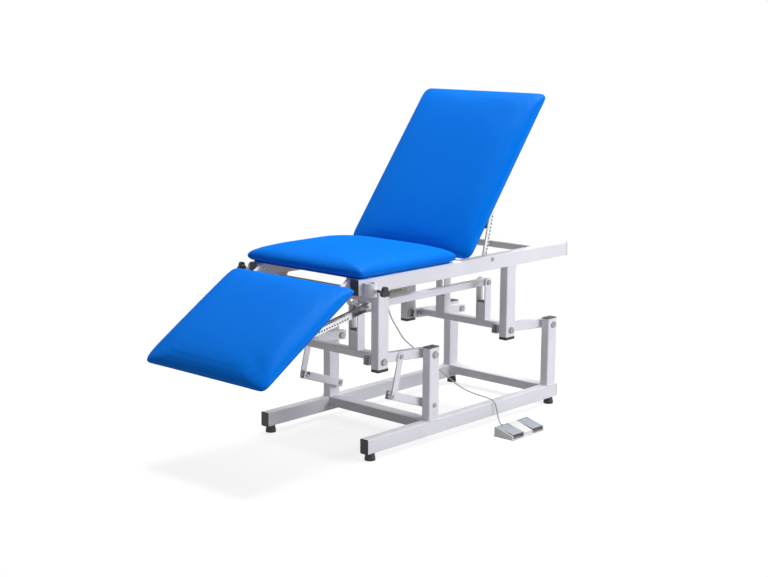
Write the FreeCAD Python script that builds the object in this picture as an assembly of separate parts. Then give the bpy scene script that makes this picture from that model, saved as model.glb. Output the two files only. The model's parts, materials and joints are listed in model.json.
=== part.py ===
import FreeCAD, Part
import math
import os

# Examination table with a powered lift and three padded sections, in millimetres.
# X runs from the leg section to the back section, the foot switch lies on the -Y side, Z is up from the floor.
# Places are first measured from the front ends of the base rails and from the middle plane of the frame,
# and the finished pieces are then moved so that the origin is under the middle of the whole table.
ORIGIN_X = 349.44
ORIGIN_Y = -64.35

# Steel tube of the base and of the top frame
RAIL_DEPTH = 60.0
RAIL_WIDTH = 40.0
FRAME_WIDTH = 600.0
TUBE_WALL = 2.0
TUBE_CORNER = 4.0
CROSS_DEPTH = 40.0
CAP_RIM = 3.0
LEG_CAP_RIM = 12.0
CAP_PLUG = 14.0
CAP_CLEARANCE = 0.2

# Base
FOOT_HEIGHT = 29.0
FOOT_RADIUS = 21.5
FOOT_TOP_RADIUS = 18.0
FOOT_BAND = 9.0
FOOT_GAP = 3.0
FOOT_STEM_RADIUS = 6.0
FOOT_STEM_REACH = 16.0
FOOT_SETBACK = 34.0
BASE_RAIL_LENGTH = 1224.0
FRONT_POST_X = 390.0
REAR_POST_SETBACK = 44.0
POST_LENGTH = 299.0
PIVOT_INSET = 28.0

# Swing arms of the lift
ARM_LENGTH = 304.0
ARM_REST_DEG = 4.15
ARM_DEPTH = 40.0
ARM_WIDTH = 30.0
ARM_SIDE_GAP = 10.0
ARM_OVERHANG = 28.0
PIVOT_RADIUS = 8.0
BOLT_FLATS = 24.0
BOLT_HEAD = 9.0
RUNNING_CLEARANCE = 0.05
FACE_GAP = 0.3
HOLE_CLEARANCE = 0.1

# Torsion tubes, levers and connecting bar
TORSION_WIDTH = 40.0
TORSION_DEPTH = 30.0
LEVER_SETBACK = 41.0
TORSION_RISE = 3.0
LEVER_WIDTH = 40.0
LEVER_TUBE_HEIGHT = 76.0
LEVER_REACH = 181.0
FORK_PLATE = 5.0
FORK_WIDTH = 40.0
FORK_PIN_RADIUS = 7.0
FORK_PIN_FLATS = 20.0
FORK_PIN_HEAD = 7.0
BAR_LEVER_Y = -118.0
BAR_DEPTH = 30.0
BAR_WIDTH = 28.0
BAR_OVERHANG = 18.0

# Stays between the front posts and the front arms
STAY_PIVOT_HEIGHT = 63.0
STAY_ARM_PLACE = 155.0
STAY_FOOT_X = -194.0
STAY_FOOT_Z = 66.0
LINK_DEPTH = 35.0
LINK_WIDTH = 22.0
LINK_OVERHANG = 18.0
STRUT_WIDTH = 30.0
STRUT_PLATE = 6.0
STRUT_GAP = 2.0
STAY_BOLT_RADIUS = 5.0
STAY_BOLT_FLATS = 17.0
STAY_BOLT_HEAD = 6.0
LINK_EYE_RADIUS = 12.0
LINK_EYE_BACK = 3.8
LINK_EYE_UP = 3.6

# Top frame
LEG_LENGTH = 305.0
TOP_RAIL_OVERHANG = 139.8
TOP_RAIL_REAR_OVERHANG = 391.2
FRONT_CROSS_DROP = 9.0
FRONT_CROSS_SIZE = 40.0
MIDDLE_CROSS_X = 273.0
MIDDLE_CROSS_SIZE = 40.0
REAR_CROSS_SETBACK = 184.2
REAR_CROSS_WIDTH = 40.0
REAR_CROSS_DEPTH = 30.0

# Padded sections: boards, cushions and the tubes that carry them
BOARD = 12.0
BOARD_INSET = 36.0
CUSHION_HALF_WIDTH = 326.0
CUSHION_CORNER = 58.0
SEAT_LENGTH = 574.0
SEAT_OVERHANG = 6.0
SEAT_PROFILE = ((22.0, 0.0), (5.0, 8.0), (0.0, 20.0), (6.0, 37.0), (26.0, 54.0), (84.0, 70.0), (190.0, 82.0))
SECTION_PROFILE = ((22.0, 0.0), (5.0, 7.0), (0.0, 18.0), (6.0, 33.0), (24.0, 46.0), (80.0, 58.0), (186.0, 66.0))
SECTION_TUBE_DEPTH = 40.0
SECTION_TUBE_WIDTH = 20.0
SECTION_CROSS_DEPTH = 25.0
SECTION_CROSS_WIDTH = 30.0
HINGE_BOSS_RADIUS = 11.0
HINGE_EYE_GAP = 1.0

# Back section
BACK_HINGE_X = 484.7
BACK_HINGE_DROP = 12.0
BACK_REST_DEG = 52.3
BACK_START = 6.0
BACK_PAD_LENGTH = 811.0
BACK_FRAME_GAP = 44.0
BACK_FRAME_LENGTH = 470.0
BACK_CROSSES = (60.0, 450.0)

# Leg section
LEG_HINGE_SETBACK = 16.0
LEG_HINGE_DROP = 20.0
LEG_REST_DEG = 32.7
LEG_START = 56.0
LEG_PAD_LENGTH = 559.0
LEG_FRAME_GAP = 10.0
LEG_FRAME_LENGTH = 505.0
LEG_CROSSES = (130.0, 485.0)

# Ratchets: a toothed flat bar beside a folded channel
RATCHET_PLATE = 6.0
RATCHET_WIDTH = 24.0
RATCHET_GAP = 2.0
RATCHET_PIN_RADIUS = 6.0
CHANNEL_FLANGE = 14.0
CHANNEL_WALL = 2.0
CHANNEL_TAIL = 9.0
TOOTH_PITCH = 14.0
TOOTH_DEPTH = 6.0
TOOTH_SHARE = 0.7
BACK_BOLT_X = 661.2
BACK_BOLT_DROP = 16.0
BACK_PIN_PLACE = 400.0
BACK_PIN_RISE = -12.0
BACK_RATCHET_LENGTH = 200.0
LEG_LUG_DROP = 24.0
LEG_LUG_PLATE = 6.0
LEG_LUG_WIDTH = 36.0
LEG_PIN_PLACE = 358.0
LEG_RATCHET_LENGTH = 330.0

# Clamp sockets at the front of the seat
SOCKET_RADIUS = 24.0
SOCKET_BORE_RADIUS = 20.0
SOCKET_HEIGHT = 52.0
SOCKET_DROP = 13.0
SOCKET_SETBACK = 41.0
SOCKET_SADDLE = 2.0
SOCKET_BOSS_RADIUS = 11.0
SOCKET_BOSS = 14.0
CLAMP_SCREW_RADIUS = 5.0
CLAMP_SCREW_LENGTH = 46.0
KNOB_RADIUS = 22.0
KNOB_WAIST = 13.0
KNOB_THICKNESS = 14.0
KNOB_HUB = 5.0

# Actuator, its bracket and the control box
ACTUATOR_Y = 110.0
ACTUATOR_TAIL_X = 273.0
CHEEK_PLATE = 6.0
CHEEK_WIDTH = 62.0
CHEEK_SLOT_RADIUS = 12.0
CHEEK_SLOT_UP = 9.0
CHEEK_SLOT_DOWN = 31.0
CHEEK_EDGE = 18.0
TAIL_PIN_RADIUS = 8.0
TAIL_EYE_RADIUS = 15.0
TAIL_EYE_WIDTH = 34.0
GEARBOX_START = 38.0
GEARBOX_LENGTH = 74.0
GEARBOX_WIDTH = 66.0
GEARBOX_HEIGHT = 118.0
GEARBOX_CORNER = 14.0
MOTOR_DROP = 54.0
MOTOR_RADIUS = 31.0
MOTOR_LENGTH = 166.0
MOTOR_NOSE = 6.0
ACTUATOR_TUBE_RADIUS = 24.0
ACTUATOR_TUBE_LENGTH = 218.0
ROD_RADIUS = 10.0
ROD_INSIDE = 130.0
ROD_BORE_DEPTH = 262.0
ROD_EYE_RADIUS = 17.0
ROD_EYE_WIDTH = 34.0
BOX_X = 103.0
BOX_LENGTH = 140.0
BOX_WIDTH = 140.0
BOX_HEIGHT = 54.0
BOX_CORNER = 10.0
BOX_Y = -160.0
BOX_GLAND_X = 15.0
BOX_GLAND_Y = -205.0
INLET_WIDTH = 28.0
INLET_HEIGHT = 20.0
INLET_DEPTH = 12.0
GLAND_RADIUS = 6.0
GLAND_LENGTH = 14.0

# Foot switch on the floor
SWITCH_X = 616.0
SWITCH_Y = -531.0
SWITCH_LENGTH = 213.0
SWITCH_DEPTH = 105.0
SWITCH_BACK_HEIGHT = 42.0
SWITCH_FRONT_HEIGHT = 18.0
SWITCH_FLOOR = 4.0
SWITCH_CHEEK = 5.2
SWITCH_CORNER = 6.0
PEDAL_WIDTH = 72.0
PEDAL_SLOPE_DEG = 11.0
PEDAL_PLATE = 7.0
PEDAL_LENGTH = 98.0
PEDAL_HINGE_HEIGHT = 33.0
PEDAL_HINGE_SETBACK = 8.0
PEDAL_BARREL_RADIUS = 6.0
PEDAL_PIN_RADIUS = 3.0
PEDAL_RIB = 1.2
PEDAL_RIBS = 6

# Cable from the control box to the foot switch, through points chosen along its lie
CABLE_RADIUS = 2.5
CABLE_SIDES = 8
CABLE_ARC_SHARE = 0.45
CABLE_ROUTE = (
    (205, -205, 650.7), (206, -205, 596), (225, -206, 530), (268, -205, 474), (312, -204, 418), (362, -202.5, 384),
    (418, -201.5, 336), (478, -200, 292), (540, -201, 252), (595, -206, 209), (646, -229, 163), (696, -256, 133),
    (738, -279, 116), (770, -309, 98), (783, -314, 52), (781, -322, 25), (760, -350, 8), (731, -384, 14),
    (722.5, -417, 18))

X = FreeCAD.Vector(1, 0, 0)
Y = FreeCAD.Vector(0, 1, 0)
Z = FreeCAD.Vector(0, 0, 1)

# Levels and places that follow from the driving dimensions
RAIL_Y = (FRAME_WIDTH - RAIL_WIDTH) / 2
RAIL_OUTER = FRAME_WIDTH / 2
RAIL_INNER = RAIL_OUTER - RAIL_WIDTH
BASE_TOP = FOOT_HEIGHT + RAIL_DEPTH
POST_PITCH = BASE_RAIL_LENGTH + 2 * CAP_RIM - REAR_POST_SETBACK - FRONT_POST_X
POST_TOP = BASE_TOP + POST_LENGTH
POST_PIVOT_Z = POST_TOP - PIVOT_INSET
ARM_REST = math.radians(ARM_REST_DEG)
LEG_X = FRONT_POST_X - ARM_LENGTH * math.cos(ARM_REST)
LEG_PIVOT_Z = POST_PIVOT_Z + ARM_LENGTH * math.sin(ARM_REST)
LEG_BOTTOM = LEG_PIVOT_Z - PIVOT_INSET
TOP_RAIL_Z = LEG_BOTTOM + LEG_LENGTH
SEAT_PLANE = TOP_RAIL_Z + RAIL_DEPTH
TOP_RAIL_X = LEG_X - TOP_RAIL_OVERHANG
TOP_RAIL_LENGTH = TOP_RAIL_OVERHANG + POST_PITCH + TOP_RAIL_REAR_OVERHANG
BACK_FRAME_Y = RAIL_INNER - BACK_FRAME_GAP - SECTION_TUBE_WIDTH / 2
LEG_FRAME_Y = RAIL_INNER - LEG_FRAME_GAP - SECTION_TUBE_WIDTH / 2
ARM_OUTER = RAIL_INNER - ARM_SIDE_GAP
ARM_INNER = ARM_OUTER - ARM_WIDTH
TORSION_TOP = LEG_PIVOT_Z + TORSION_RISE + TORSION_DEPTH / 2
FORK_Z = LEG_PIVOT_Z + LEVER_REACH
FRONT_FORK_X = LEG_X + LEVER_SETBACK
REAR_FORK_X = FRONT_FORK_X + POST_PITCH
BACK_HINGE = FreeCAD.Vector(LEG_X + BACK_HINGE_X, 0, SEAT_PLANE - BACK_HINGE_DROP)
LEG_HINGE = FreeCAD.Vector(TOP_RAIL_X + LEG_HINGE_SETBACK, 0, SEAT_PLANE - LEG_HINGE_DROP)


def point(x, y, z):
    return FreeCAD.Vector(x, y, z)


def rounded_loop(centre, across, up, width, height, radius):
    """Closed loop of four straight runs and four quarter arcs."""
    half_w = width / 2
    half_h = height / 2
    nib = radius * (1 - math.sqrt(0.5))
    corners = []
    for side, end in ((1, 1), (-1, 1), (-1, -1), (1, -1)):
        on_side = centre + across * (side * half_w) + up * (end * (half_h - radius))
        on_end = centre + across * (side * (half_w - radius)) + up * (end * half_h)
        middle = centre + across * (side * (half_w - nib)) + up * (end * (half_h - nib))
        first, last = (on_side, on_end) if side == end else (on_end, on_side)
        corners.append((first, middle, last))
    edges = []
    for index, (first, middle, last) in enumerate(corners):
        edges.append(Part.Arc(first, middle, last).toShape())
        edges.append(Part.makeLine(last, corners[(index + 1) % 4][0]))
    return Part.Wire(edges)


def rounded_bar(centre, along, across, up, width, height, radius):
    return Part.Face(rounded_loop(centre, across, up, width, height, radius)).extrude(along)


def eased_bar(centre, along, across, up, width, height, radius):
    """Bar whose corners are eased by two flats each."""
    nib = radius * (1 - math.sqrt(0.5))
    corner = ((0, radius), (nib, nib), (radius, 0))
    places = []
    for side, end in ((1, 1), (-1, 1), (-1, -1), (1, -1)):
        order = corner if side == end else corner[::-1]
        for in_side, in_end in order:
            places.append(centre + across * (side * (width / 2 - in_side)) + up * (end * (height / 2 - in_end)))
    return Part.Face(Part.makePolygon(places + places[:1])).extrude(along)


def square_bar(centre, along, across, up, width, height):
    corners = [centre + across * (side * width / 2) + up * (end * height / 2)
               for side, end in ((1, 1), (-1, 1), (-1, -1), (1, -1))]
    return Part.Face(Part.makePolygon(corners + corners[:1])).extrude(along)


def tube(start, along, across, up, width, height):
    """Rectangular steel tube with eased outer corners, open at both ends."""
    outer = eased_bar(start, along, across, up, width, height, TUBE_CORNER)
    return outer.cut(square_bar(start, along, across, up, width - 2 * TUBE_WALL, height - 2 * TUBE_WALL))


def tube_x(x, length, y, z, width, depth):
    return tube(point(x, y, z), X * length, Y, Z, width, depth)


def tube_y(x, y, length, z, width, depth):
    return tube(point(x, y, z), Y * length, Z, X, depth, width)


def tube_z(x, y, z, length, width_x, width_y):
    return tube(point(x, y, z), Z * length, X, Y, width_x, width_y)


def plug_cap(end, outward, across, up, width, height, rim_height=CAP_RIM):
    """Plastic cap: a rim that covers the tube's end and a plug inside it."""
    rim = eased_bar(end, outward * rim_height, across, up, width, height, TUBE_CORNER)
    inside = 2 * (TUBE_WALL + CAP_CLEARANCE)
    return rim.fuse(square_bar(end, outward * -CAP_PLUG, across, up, width - inside, height - inside))


def rod_y(x, z, y_from, y_to, radius):
    return Part.makeCylinder(radius, y_to - y_from, point(x, y_from, z), Y)


def hexagon_y(x, z, y_from, y_to, flats):
    """Hexagonal head or nut with its axis along Y."""
    reach = flats / math.sqrt(3)
    corners = [point(x + reach * math.cos(math.pi * k / 3), y_from, z + reach * math.sin(math.pi * k / 3))
               for k in range(6)]
    return Part.Face(Part.makePolygon(corners + corners[:1])).extrude(Y * (y_to - y_from))


def bolt_y(x, z, nut_face, head_face, radius, flats, head):
    """Bolt along Y whose head sits on the outer face and whose nut sits under the inner face."""
    shank = rod_y(x, z, nut_face, head_face, radius)
    return shank.fuse([hexagon_y(x, z, head_face, head_face + head, flats),
                       hexagon_y(x, z, nut_face - head, nut_face, flats)])


def pivot_bolt(x, z, nut_face, radius, flats, head):
    """Bolt through a post or leg, with a lock nut that keeps the arm or link clear of it."""
    collar = hexagon_y(x, z, ARM_OUTER + FACE_GAP, RAIL_INNER, flats)
    return bolt_y(x, z, nut_face, RAIL_OUTER, radius, flats, head).fuse(collar)


def mirrored(shape):
    return shape.mirror(point(0, 0, 0), Y)


def both_sides(shape):
    return [mirrored(shape), shape]


def group(shapes):
    return Part.makeCompound(shapes)


def tilt(shape, pivot, degrees):
    """Turn about the Y axis through a pivot; positive lifts the -X end."""
    return shape.rotated(pivot, Y, degrees)


def aimed(shape, pivot, target):
    """Place a bar that was drawn along +X from the origin so that it points from the pivot to the target."""
    turn = math.degrees(math.atan2(target.z - pivot.z, target.x - pivot.x))
    return shape.rotated(point(0, 0, 0), Y, -turn).translated(point(pivot.x, 0, pivot.z))


def strap(length, width, tail_radius, y_from, y_to, pin_radius):
    """Flat bar along +X with a round end about the origin and a hole there."""
    top = Part.makeLine(point(0, y_from, tail_radius), point(length, y_from, width / 2))
    end = Part.makeLine(point(length, y_from, width / 2), point(length, y_from, -width / 2))
    low = Part.makeLine(point(length, y_from, -width / 2), point(0, y_from, -tail_radius))
    tail = Part.Arc(point(0, y_from, -tail_radius), point(-tail_radius, y_from, 0),
                    point(0, y_from, tail_radius)).toShape()
    plate = Part.Face(Part.Wire([top, end, low, tail])).extrude(Y * (y_to - y_from))
    return plate.cut(rod_y(0, 0, y_from, y_to, pin_radius))


def base_nodes():
    rail_z = FOOT_HEIGHT + RAIL_DEPTH / 2
    stem = FOOT_STEM_RADIUS + RUNNING_CLEARANCE
    foot_places = (FOOT_SETBACK, 2 * CAP_RIM + BASE_RAIL_LENGTH - FOOT_SETBACK)
    rail = tube_x(CAP_RIM, BASE_RAIL_LENGTH, RAIL_Y, rail_z, RAIL_WIDTH, RAIL_DEPTH)
    for x in foot_places:
        rail = rail.cut(Part.makeCylinder(stem, RAIL_DEPTH / 2, point(x, RAIL_Y, FOOT_HEIGHT), Z))
    caps = []
    for x, outward in ((CAP_RIM, X * -1), (CAP_RIM + BASE_RAIL_LENGTH, X)):
        caps += both_sides(plug_cap(point(x, RAIL_Y, rail_z), outward, Y, Z, RAIL_WIDTH, RAIL_DEPTH))
    nodes = {"base_rail_near": mirrored(rail), "base_rail_far": rail}
    bolts = []
    for name, x in (("front", FRONT_POST_X), ("rear", FRONT_POST_X + POST_PITCH)):
        cross_z = BASE_TOP - CROSS_DEPTH / 2
        nodes["base_%s_crossbar" % name] = tube_y(x, -RAIL_INNER, 2 * RAIL_INNER, cross_z, RAIL_DEPTH, CROSS_DEPTH)
        post = tube_z(x, RAIL_Y, BASE_TOP, POST_LENGTH, RAIL_DEPTH, RAIL_WIDTH)
        post = post.cut(rod_y(x, POST_PIVOT_Z, RAIL_INNER, RAIL_OUTER, PIVOT_RADIUS + HOLE_CLEARANCE))
        if name == "front":
            stay_z = BASE_TOP + STAY_PIVOT_HEIGHT
            post = post.cut(rod_y(x, stay_z, RAIL_INNER, RAIL_OUTER, STAY_BOLT_RADIUS + HOLE_CLEARANCE))
            bolts += both_sides(pivot_bolt(x, stay_z, ARM_OUTER - LINK_WIDTH - FACE_GAP, STAY_BOLT_RADIUS,
                                           STAY_BOLT_FLATS, STAY_BOLT_HEAD))
        nodes["%s_posts" % name] = group(both_sides(post))
        caps += both_sides(plug_cap(point(x, RAIL_Y, POST_TOP), Z, X, Y, RAIL_DEPTH, RAIL_WIDTH))
        bolts += both_sides(pivot_bolt(x, POST_PIVOT_Z, ARM_INNER - FACE_GAP, PIVOT_RADIUS, BOLT_FLATS, BOLT_HEAD))
    nodes["base_tube_caps"] = group(caps)
    nodes["post_pivot_bolts"] = group(bolts)
    for side, y in (("near", -RAIL_Y), ("far", RAIL_Y)):
        for name, x in zip(("front", "rear"), foot_places):
            nodes["levelling_foot_%s_%s" % (side, name)] = levelling_foot(x, y)
    return nodes


def levelling_foot(x, y):
    """Turned plastic foot with a screwed stem that runs up into the rail."""
    top = FOOT_HEIGHT - FOOT_GAP
    outline = [(0, 0), (FOOT_RADIUS, 0), (FOOT_RADIUS, FOOT_BAND), (FOOT_TOP_RADIUS, top), (FOOT_STEM_RADIUS, top),
               (FOOT_STEM_RADIUS, FOOT_HEIGHT + FOOT_STEM_REACH), (0, FOOT_HEIGHT + FOOT_STEM_REACH)]
    corners = [point(x + r, y, z) for r, z in outline]
    return Part.Face(Part.makePolygon(corners + corners[:1])).revolve(point(x, y, 0), Z, 360)


def swing_arm(post_x):
    """Arm tube bored for a pivot bolt near each end, drawn level before it is tilted to its rest angle."""
    pivot = point(post_x, 0, POST_PIVOT_Z)
    start = post_x - ARM_LENGTH - ARM_OVERHANG
    arm = tube_x(start, ARM_LENGTH + 2 * ARM_OVERHANG, ARM_OUTER - ARM_WIDTH / 2, POST_PIVOT_Z, ARM_WIDTH, ARM_DEPTH)
    for x in (post_x, post_x - ARM_LENGTH):
        arm = arm.cut(rod_y(x, POST_PIVOT_Z, ARM_INNER, ARM_OUTER, PIVOT_RADIUS + RUNNING_CLEARANCE))
    return arm, pivot


def lever(x, y):
    """Short tube welded on the torsion tube, with a fork plate on each side that rises to the pin."""
    body = tube_z(x, y, TORSION_TOP, LEVER_TUBE_HEIGHT, LEVER_WIDTH, LEVER_WIDTH)
    half = FORK_WIDTH / 2
    for side in (-1, 1):
        inner = y + side * LEVER_WIDTH / 2
        corners = (point(x - half, inner, FORK_Z), point(x - half, inner, TORSION_TOP),
                   point(x + half, inner, TORSION_TOP), point(x + half, inner, FORK_Z))
        edges = [Part.makeLine(corners[k], corners[k + 1]) for k in range(3)]
        edges.append(Part.Arc(corners[3], point(x, inner, FORK_Z + half), corners[0]).toShape())
        body = body.fuse(Part.Face(Part.Wire(edges)).extrude(Y * (side * FORK_PLATE)))
    reach = LEVER_WIDTH / 2 + FORK_PLATE
    return body.cut(rod_y(x, FORK_Z, y - reach, y + reach, FORK_PIN_RADIUS + RUNNING_CLEARANCE))


def lever_cap(x, y):
    """Cap in the lever tube, narrower than the tube so that it drops in between the fork plates."""
    size = LEVER_WIDTH - 2 * CAP_CLEARANCE
    return plug_cap(point(x, y, TORSION_TOP + LEVER_TUBE_HEIGHT), Z, X, Y, size, size)


def fork_pin(x, y):
    """Pin through both fork plates with a head and a nut outside them."""
    reach = LEVER_WIDTH / 2 + FORK_PLATE + FACE_GAP
    return bolt_y(x, FORK_Z, y - reach, y + reach, FORK_PIN_RADIUS, FORK_PIN_FLATS, FORK_PIN_HEAD)


def torsion_tube(fork_x):
    return tube_y(fork_x, -ARM_INNER, 2 * ARM_INNER, LEG_PIVOT_Z + TORSION_RISE, TORSION_WIDTH, TORSION_DEPTH)


def stay_points():
    pivot = point(FRONT_POST_X, 0, BASE_TOP + STAY_PIVOT_HEIGHT)
    on_arm = point(FRONT_POST_X - STAY_ARM_PLACE * math.cos(ARM_REST), 0,
                   POST_PIVOT_Z + STAY_ARM_PLACE * math.sin(ARM_REST))
    foot = point(pivot.x + STAY_FOOT_X, 0, pivot.z + STAY_FOOT_Z)
    return pivot, on_arm, foot


def lift_nodes():
    front_arm, front_pivot = swing_arm(FRONT_POST_X)
    strut_outer = ARM_OUTER + STRUT_GAP + STRUT_PLATE
    stay_x = FRONT_POST_X - STAY_ARM_PLACE
    stay_hole = STAY_BOLT_RADIUS + HOLE_CLEARANCE
    front_arm = front_arm.cut(rod_y(stay_x, POST_PIVOT_Z, ARM_INNER, ARM_OUTER, stay_hole))
    stay_bolt = bolt_y(stay_x, POST_PIVOT_Z, ARM_INNER, strut_outer + FACE_GAP, STAY_BOLT_RADIUS, STAY_BOLT_FLATS,
                       STAY_BOLT_HEAD)
    front_arm = tilt(front_arm, front_pivot, ARM_REST_DEG)
    stay_bolt = tilt(stay_bolt, front_pivot, ARM_REST_DEG)
    rear_arm, rear_pivot = swing_arm(FRONT_POST_X + POST_PITCH)
    rear_arm = tilt(rear_arm, rear_pivot, ARM_REST_DEG)
    bar_start = FRONT_FORK_X - BAR_OVERHANG
    bar = tube_x(bar_start, POST_PITCH + 2 * BAR_OVERHANG, BAR_LEVER_Y, FORK_Z, BAR_WIDTH, BAR_DEPTH)
    for x in (FRONT_FORK_X, REAR_FORK_X):
        bar = bar.cut(rod_y(x, FORK_Z, BAR_LEVER_Y - BAR_WIDTH, BAR_LEVER_Y + BAR_WIDTH,
                            FORK_PIN_RADIUS + HOLE_CLEARANCE))
    return {
        "front_arms": group(both_sides(front_arm)),
        "front_torsion_tube": torsion_tube(FRONT_FORK_X),
        "front_lever": lever(FRONT_FORK_X, BAR_LEVER_Y),
        "front_lever_cap": lever_cap(FRONT_FORK_X, BAR_LEVER_Y),
        "stay_arm_bolts": group(both_sides(stay_bolt)),
        "rear_arms": group(both_sides(rear_arm)),
        "rear_torsion_tube": torsion_tube(REAR_FORK_X),
        "rear_lever": lever(REAR_FORK_X, BAR_LEVER_Y),
        "actuator_lever": lever(REAR_FORK_X, ACTUATOR_Y),
        "rear_lever_caps": group([lever_cap(REAR_FORK_X, BAR_LEVER_Y), lever_cap(REAR_FORK_X, ACTUATOR_Y)]),
        "connecting_bar": bar,
        "connecting_bar_pins": group([fork_pin(FRONT_FORK_X, BAR_LEVER_Y), fork_pin(REAR_FORK_X, BAR_LEVER_Y)]),
    }


def stay_nodes():
    """Link on the post and strut on the arm; the strut's stud runs in a wide eye of the link."""
    pivot, on_arm, foot = stay_points()
    link_length = foot.distanceToPoint(pivot)
    inner = ARM_OUTER - LINK_WIDTH
    link = tube_x(-LINK_OVERHANG, link_length + 2 * LINK_OVERHANG, ARM_OUTER - LINK_WIDTH / 2, 0, LINK_WIDTH, LINK_DEPTH)
    link = link.cut(rod_y(0, 0, inner, ARM_OUTER, STAY_BOLT_RADIUS + RUNNING_CLEARANCE))
    link = link.cut(rod_y(link_length - LINK_EYE_BACK, -LINK_EYE_UP, inner, ARM_OUTER, LINK_EYE_RADIUS))
    strut_from = ARM_OUTER + STRUT_GAP
    strut_to = strut_from + STRUT_PLATE
    length = foot.distanceToPoint(on_arm)
    half = STRUT_WIDTH / 2
    outline = rounded_bar(point(length / 2, strut_from, 0), Y * STRUT_PLATE, Z, X, STRUT_WIDTH,
                          length + STRUT_WIDTH, half - TUBE_WALL)
    strut = outline.cut(rod_y(0, 0, strut_from, strut_to, STAY_BOLT_RADIUS + RUNNING_CLEARANCE))
    stud = rod_y(length, 0, inner - STAY_BOLT_HEAD, strut_from, STAY_BOLT_RADIUS)
    head = hexagon_y(length, 0, strut_to, strut_to + STAY_BOLT_HEAD, STAY_BOLT_FLATS)
    strut = strut.fuse([stud, head])
    return {"stay_links": group(both_sides(aimed(link, pivot, foot))),
            "stay_struts": group(both_sides(aimed(strut, on_arm, foot)))}


def top_frame_nodes():
    rail_z = TOP_RAIL_Z + RAIL_DEPTH / 2
    rail = tube_x(TOP_RAIL_X, TOP_RAIL_LENGTH, RAIL_Y, rail_z, RAIL_WIDTH, RAIL_DEPTH)
    bolt_x = LEG_X + BACK_BOLT_X
    bolt_z = SEAT_PLANE - BACK_BOLT_DROP
    rail = rail.cut(rod_y(bolt_x, bolt_z, RAIL_INNER, RAIL_OUTER, RATCHET_PIN_RADIUS + HOLE_CLEARANCE))
    caps = []
    for x, outward in ((TOP_RAIL_X, X * -1), (TOP_RAIL_X + TOP_RAIL_LENGTH, X)):
        caps += both_sides(plug_cap(point(x, RAIL_Y, rail_z), outward, Y, Z, RAIL_WIDTH, RAIL_DEPTH))
    bolts = []
    nodes = {"top_rail_near": mirrored(rail), "top_rail_far": rail}
    for name, x in (("front", LEG_X), ("rear", LEG_X + POST_PITCH)):
        leg = tube_z(x, RAIL_Y, LEG_BOTTOM, LEG_LENGTH, RAIL_DEPTH, RAIL_WIDTH)
        leg = leg.cut(rod_y(x, LEG_PIVOT_Z, RAIL_INNER, RAIL_OUTER, PIVOT_RADIUS + HOLE_CLEARANCE))
        nodes["%s_legs" % name] = group(both_sides(leg))
        caps += both_sides(plug_cap(point(x, RAIL_Y, LEG_BOTTOM), Z * -1, X, Y, RAIL_DEPTH, RAIL_WIDTH, LEG_CAP_RIM))
        bolts += both_sides(pivot_bolt(x, LEG_PIVOT_Z, ARM_INNER - FACE_GAP, PIVOT_RADIUS, BOLT_FLATS, BOLT_HEAD))
    bolts += both_sides(bolt_y(bolt_x, bolt_z, back_ratchet_layers()[1] - FACE_GAP, RAIL_OUTER, RATCHET_PIN_RADIUS,
                               STAY_BOLT_FLATS, RATCHET_GAP))
    nodes["top_tube_caps"] = group(caps)
    nodes["top_frame_bolts"] = group(bolts)
    nodes["top_front_crossbar"] = front_crossbar()
    nodes["top_middle_crossbar"] = middle_crossbar()
    rear_cross_x = TOP_RAIL_X + TOP_RAIL_LENGTH - REAR_CROSS_SETBACK
    nodes["top_rear_crossbar"] = tube_y(rear_cross_x, -RAIL_INNER, 2 * RAIL_INNER,
                                        SEAT_PLANE - REAR_CROSS_DEPTH / 2, REAR_CROSS_WIDTH, REAR_CROSS_DEPTH)
    nodes["section_hinge_pins"] = group(hinge_pins())
    nodes["accessory_sockets"] = group(both_sides(socket()))
    return nodes


def back_ratchet_layers():
    """Y faces of the back section's toothed bar and channel, from the rail inwards."""
    bar_outer = RAIL_INNER - RATCHET_GAP
    bar_inner = bar_outer - RATCHET_PLATE
    channel_outer = bar_inner - 2 * RATCHET_GAP
    return bar_outer, bar_inner, channel_outer, channel_outer - CHANNEL_FLANGE


def leg_ratchet_layers():
    """Y faces of the leg section's toothed bar and channel, from the frame tube inwards."""
    bar_outer = LEG_FRAME_Y - SECTION_TUBE_WIDTH / 2 - RATCHET_GAP
    bar_inner = bar_outer - RATCHET_PLATE
    channel_outer = bar_inner - RATCHET_GAP
    return bar_outer, bar_inner, channel_outer, channel_outer - CHANNEL_FLANGE


def leg_ratchet_lug():
    cross_bottom = TOP_RAIL_Z - FRONT_CROSS_DROP - FRONT_CROSS_SIZE
    return point(LEG_X, 0, cross_bottom - LEG_LUG_DROP)


def front_crossbar():
    """Square tube between the front legs, with a lug and a pin for the leg ratchet at each side."""
    z = TOP_RAIL_Z - FRONT_CROSS_DROP - FRONT_CROSS_SIZE / 2
    bar = tube_y(LEG_X, -RAIL_INNER, 2 * RAIL_INNER, z, FRONT_CROSS_SIZE, FRONT_CROSS_SIZE)
    lug = leg_ratchet_lug()
    channel_outer, channel_inner = leg_ratchet_layers()[2:]
    plate_outer = channel_inner - FACE_GAP
    plate_inner = plate_outer - LEG_LUG_PLATE
    cross_bottom = z - FRONT_CROSS_SIZE / 2
    half = LEG_LUG_WIDTH / 2
    corners = (point(lug.x - half, plate_inner, lug.z), point(lug.x - half, plate_inner, cross_bottom),
               point(lug.x + half, plate_inner, cross_bottom), point(lug.x + half, plate_inner, lug.z))
    edges = [Part.makeLine(corners[k], corners[k + 1]) for k in range(3)]
    edges.append(Part.Arc(corners[3], point(lug.x, plate_inner, lug.z - half), corners[0]).toShape())
    plate = Part.Face(Part.Wire(edges)).extrude(Y * LEG_LUG_PLATE)
    pin = rod_y(lug.x, lug.z, plate_inner, channel_outer, RATCHET_PIN_RADIUS)
    plate = plate.fuse(pin)
    return bar.fuse(both_sides(plate))


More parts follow.
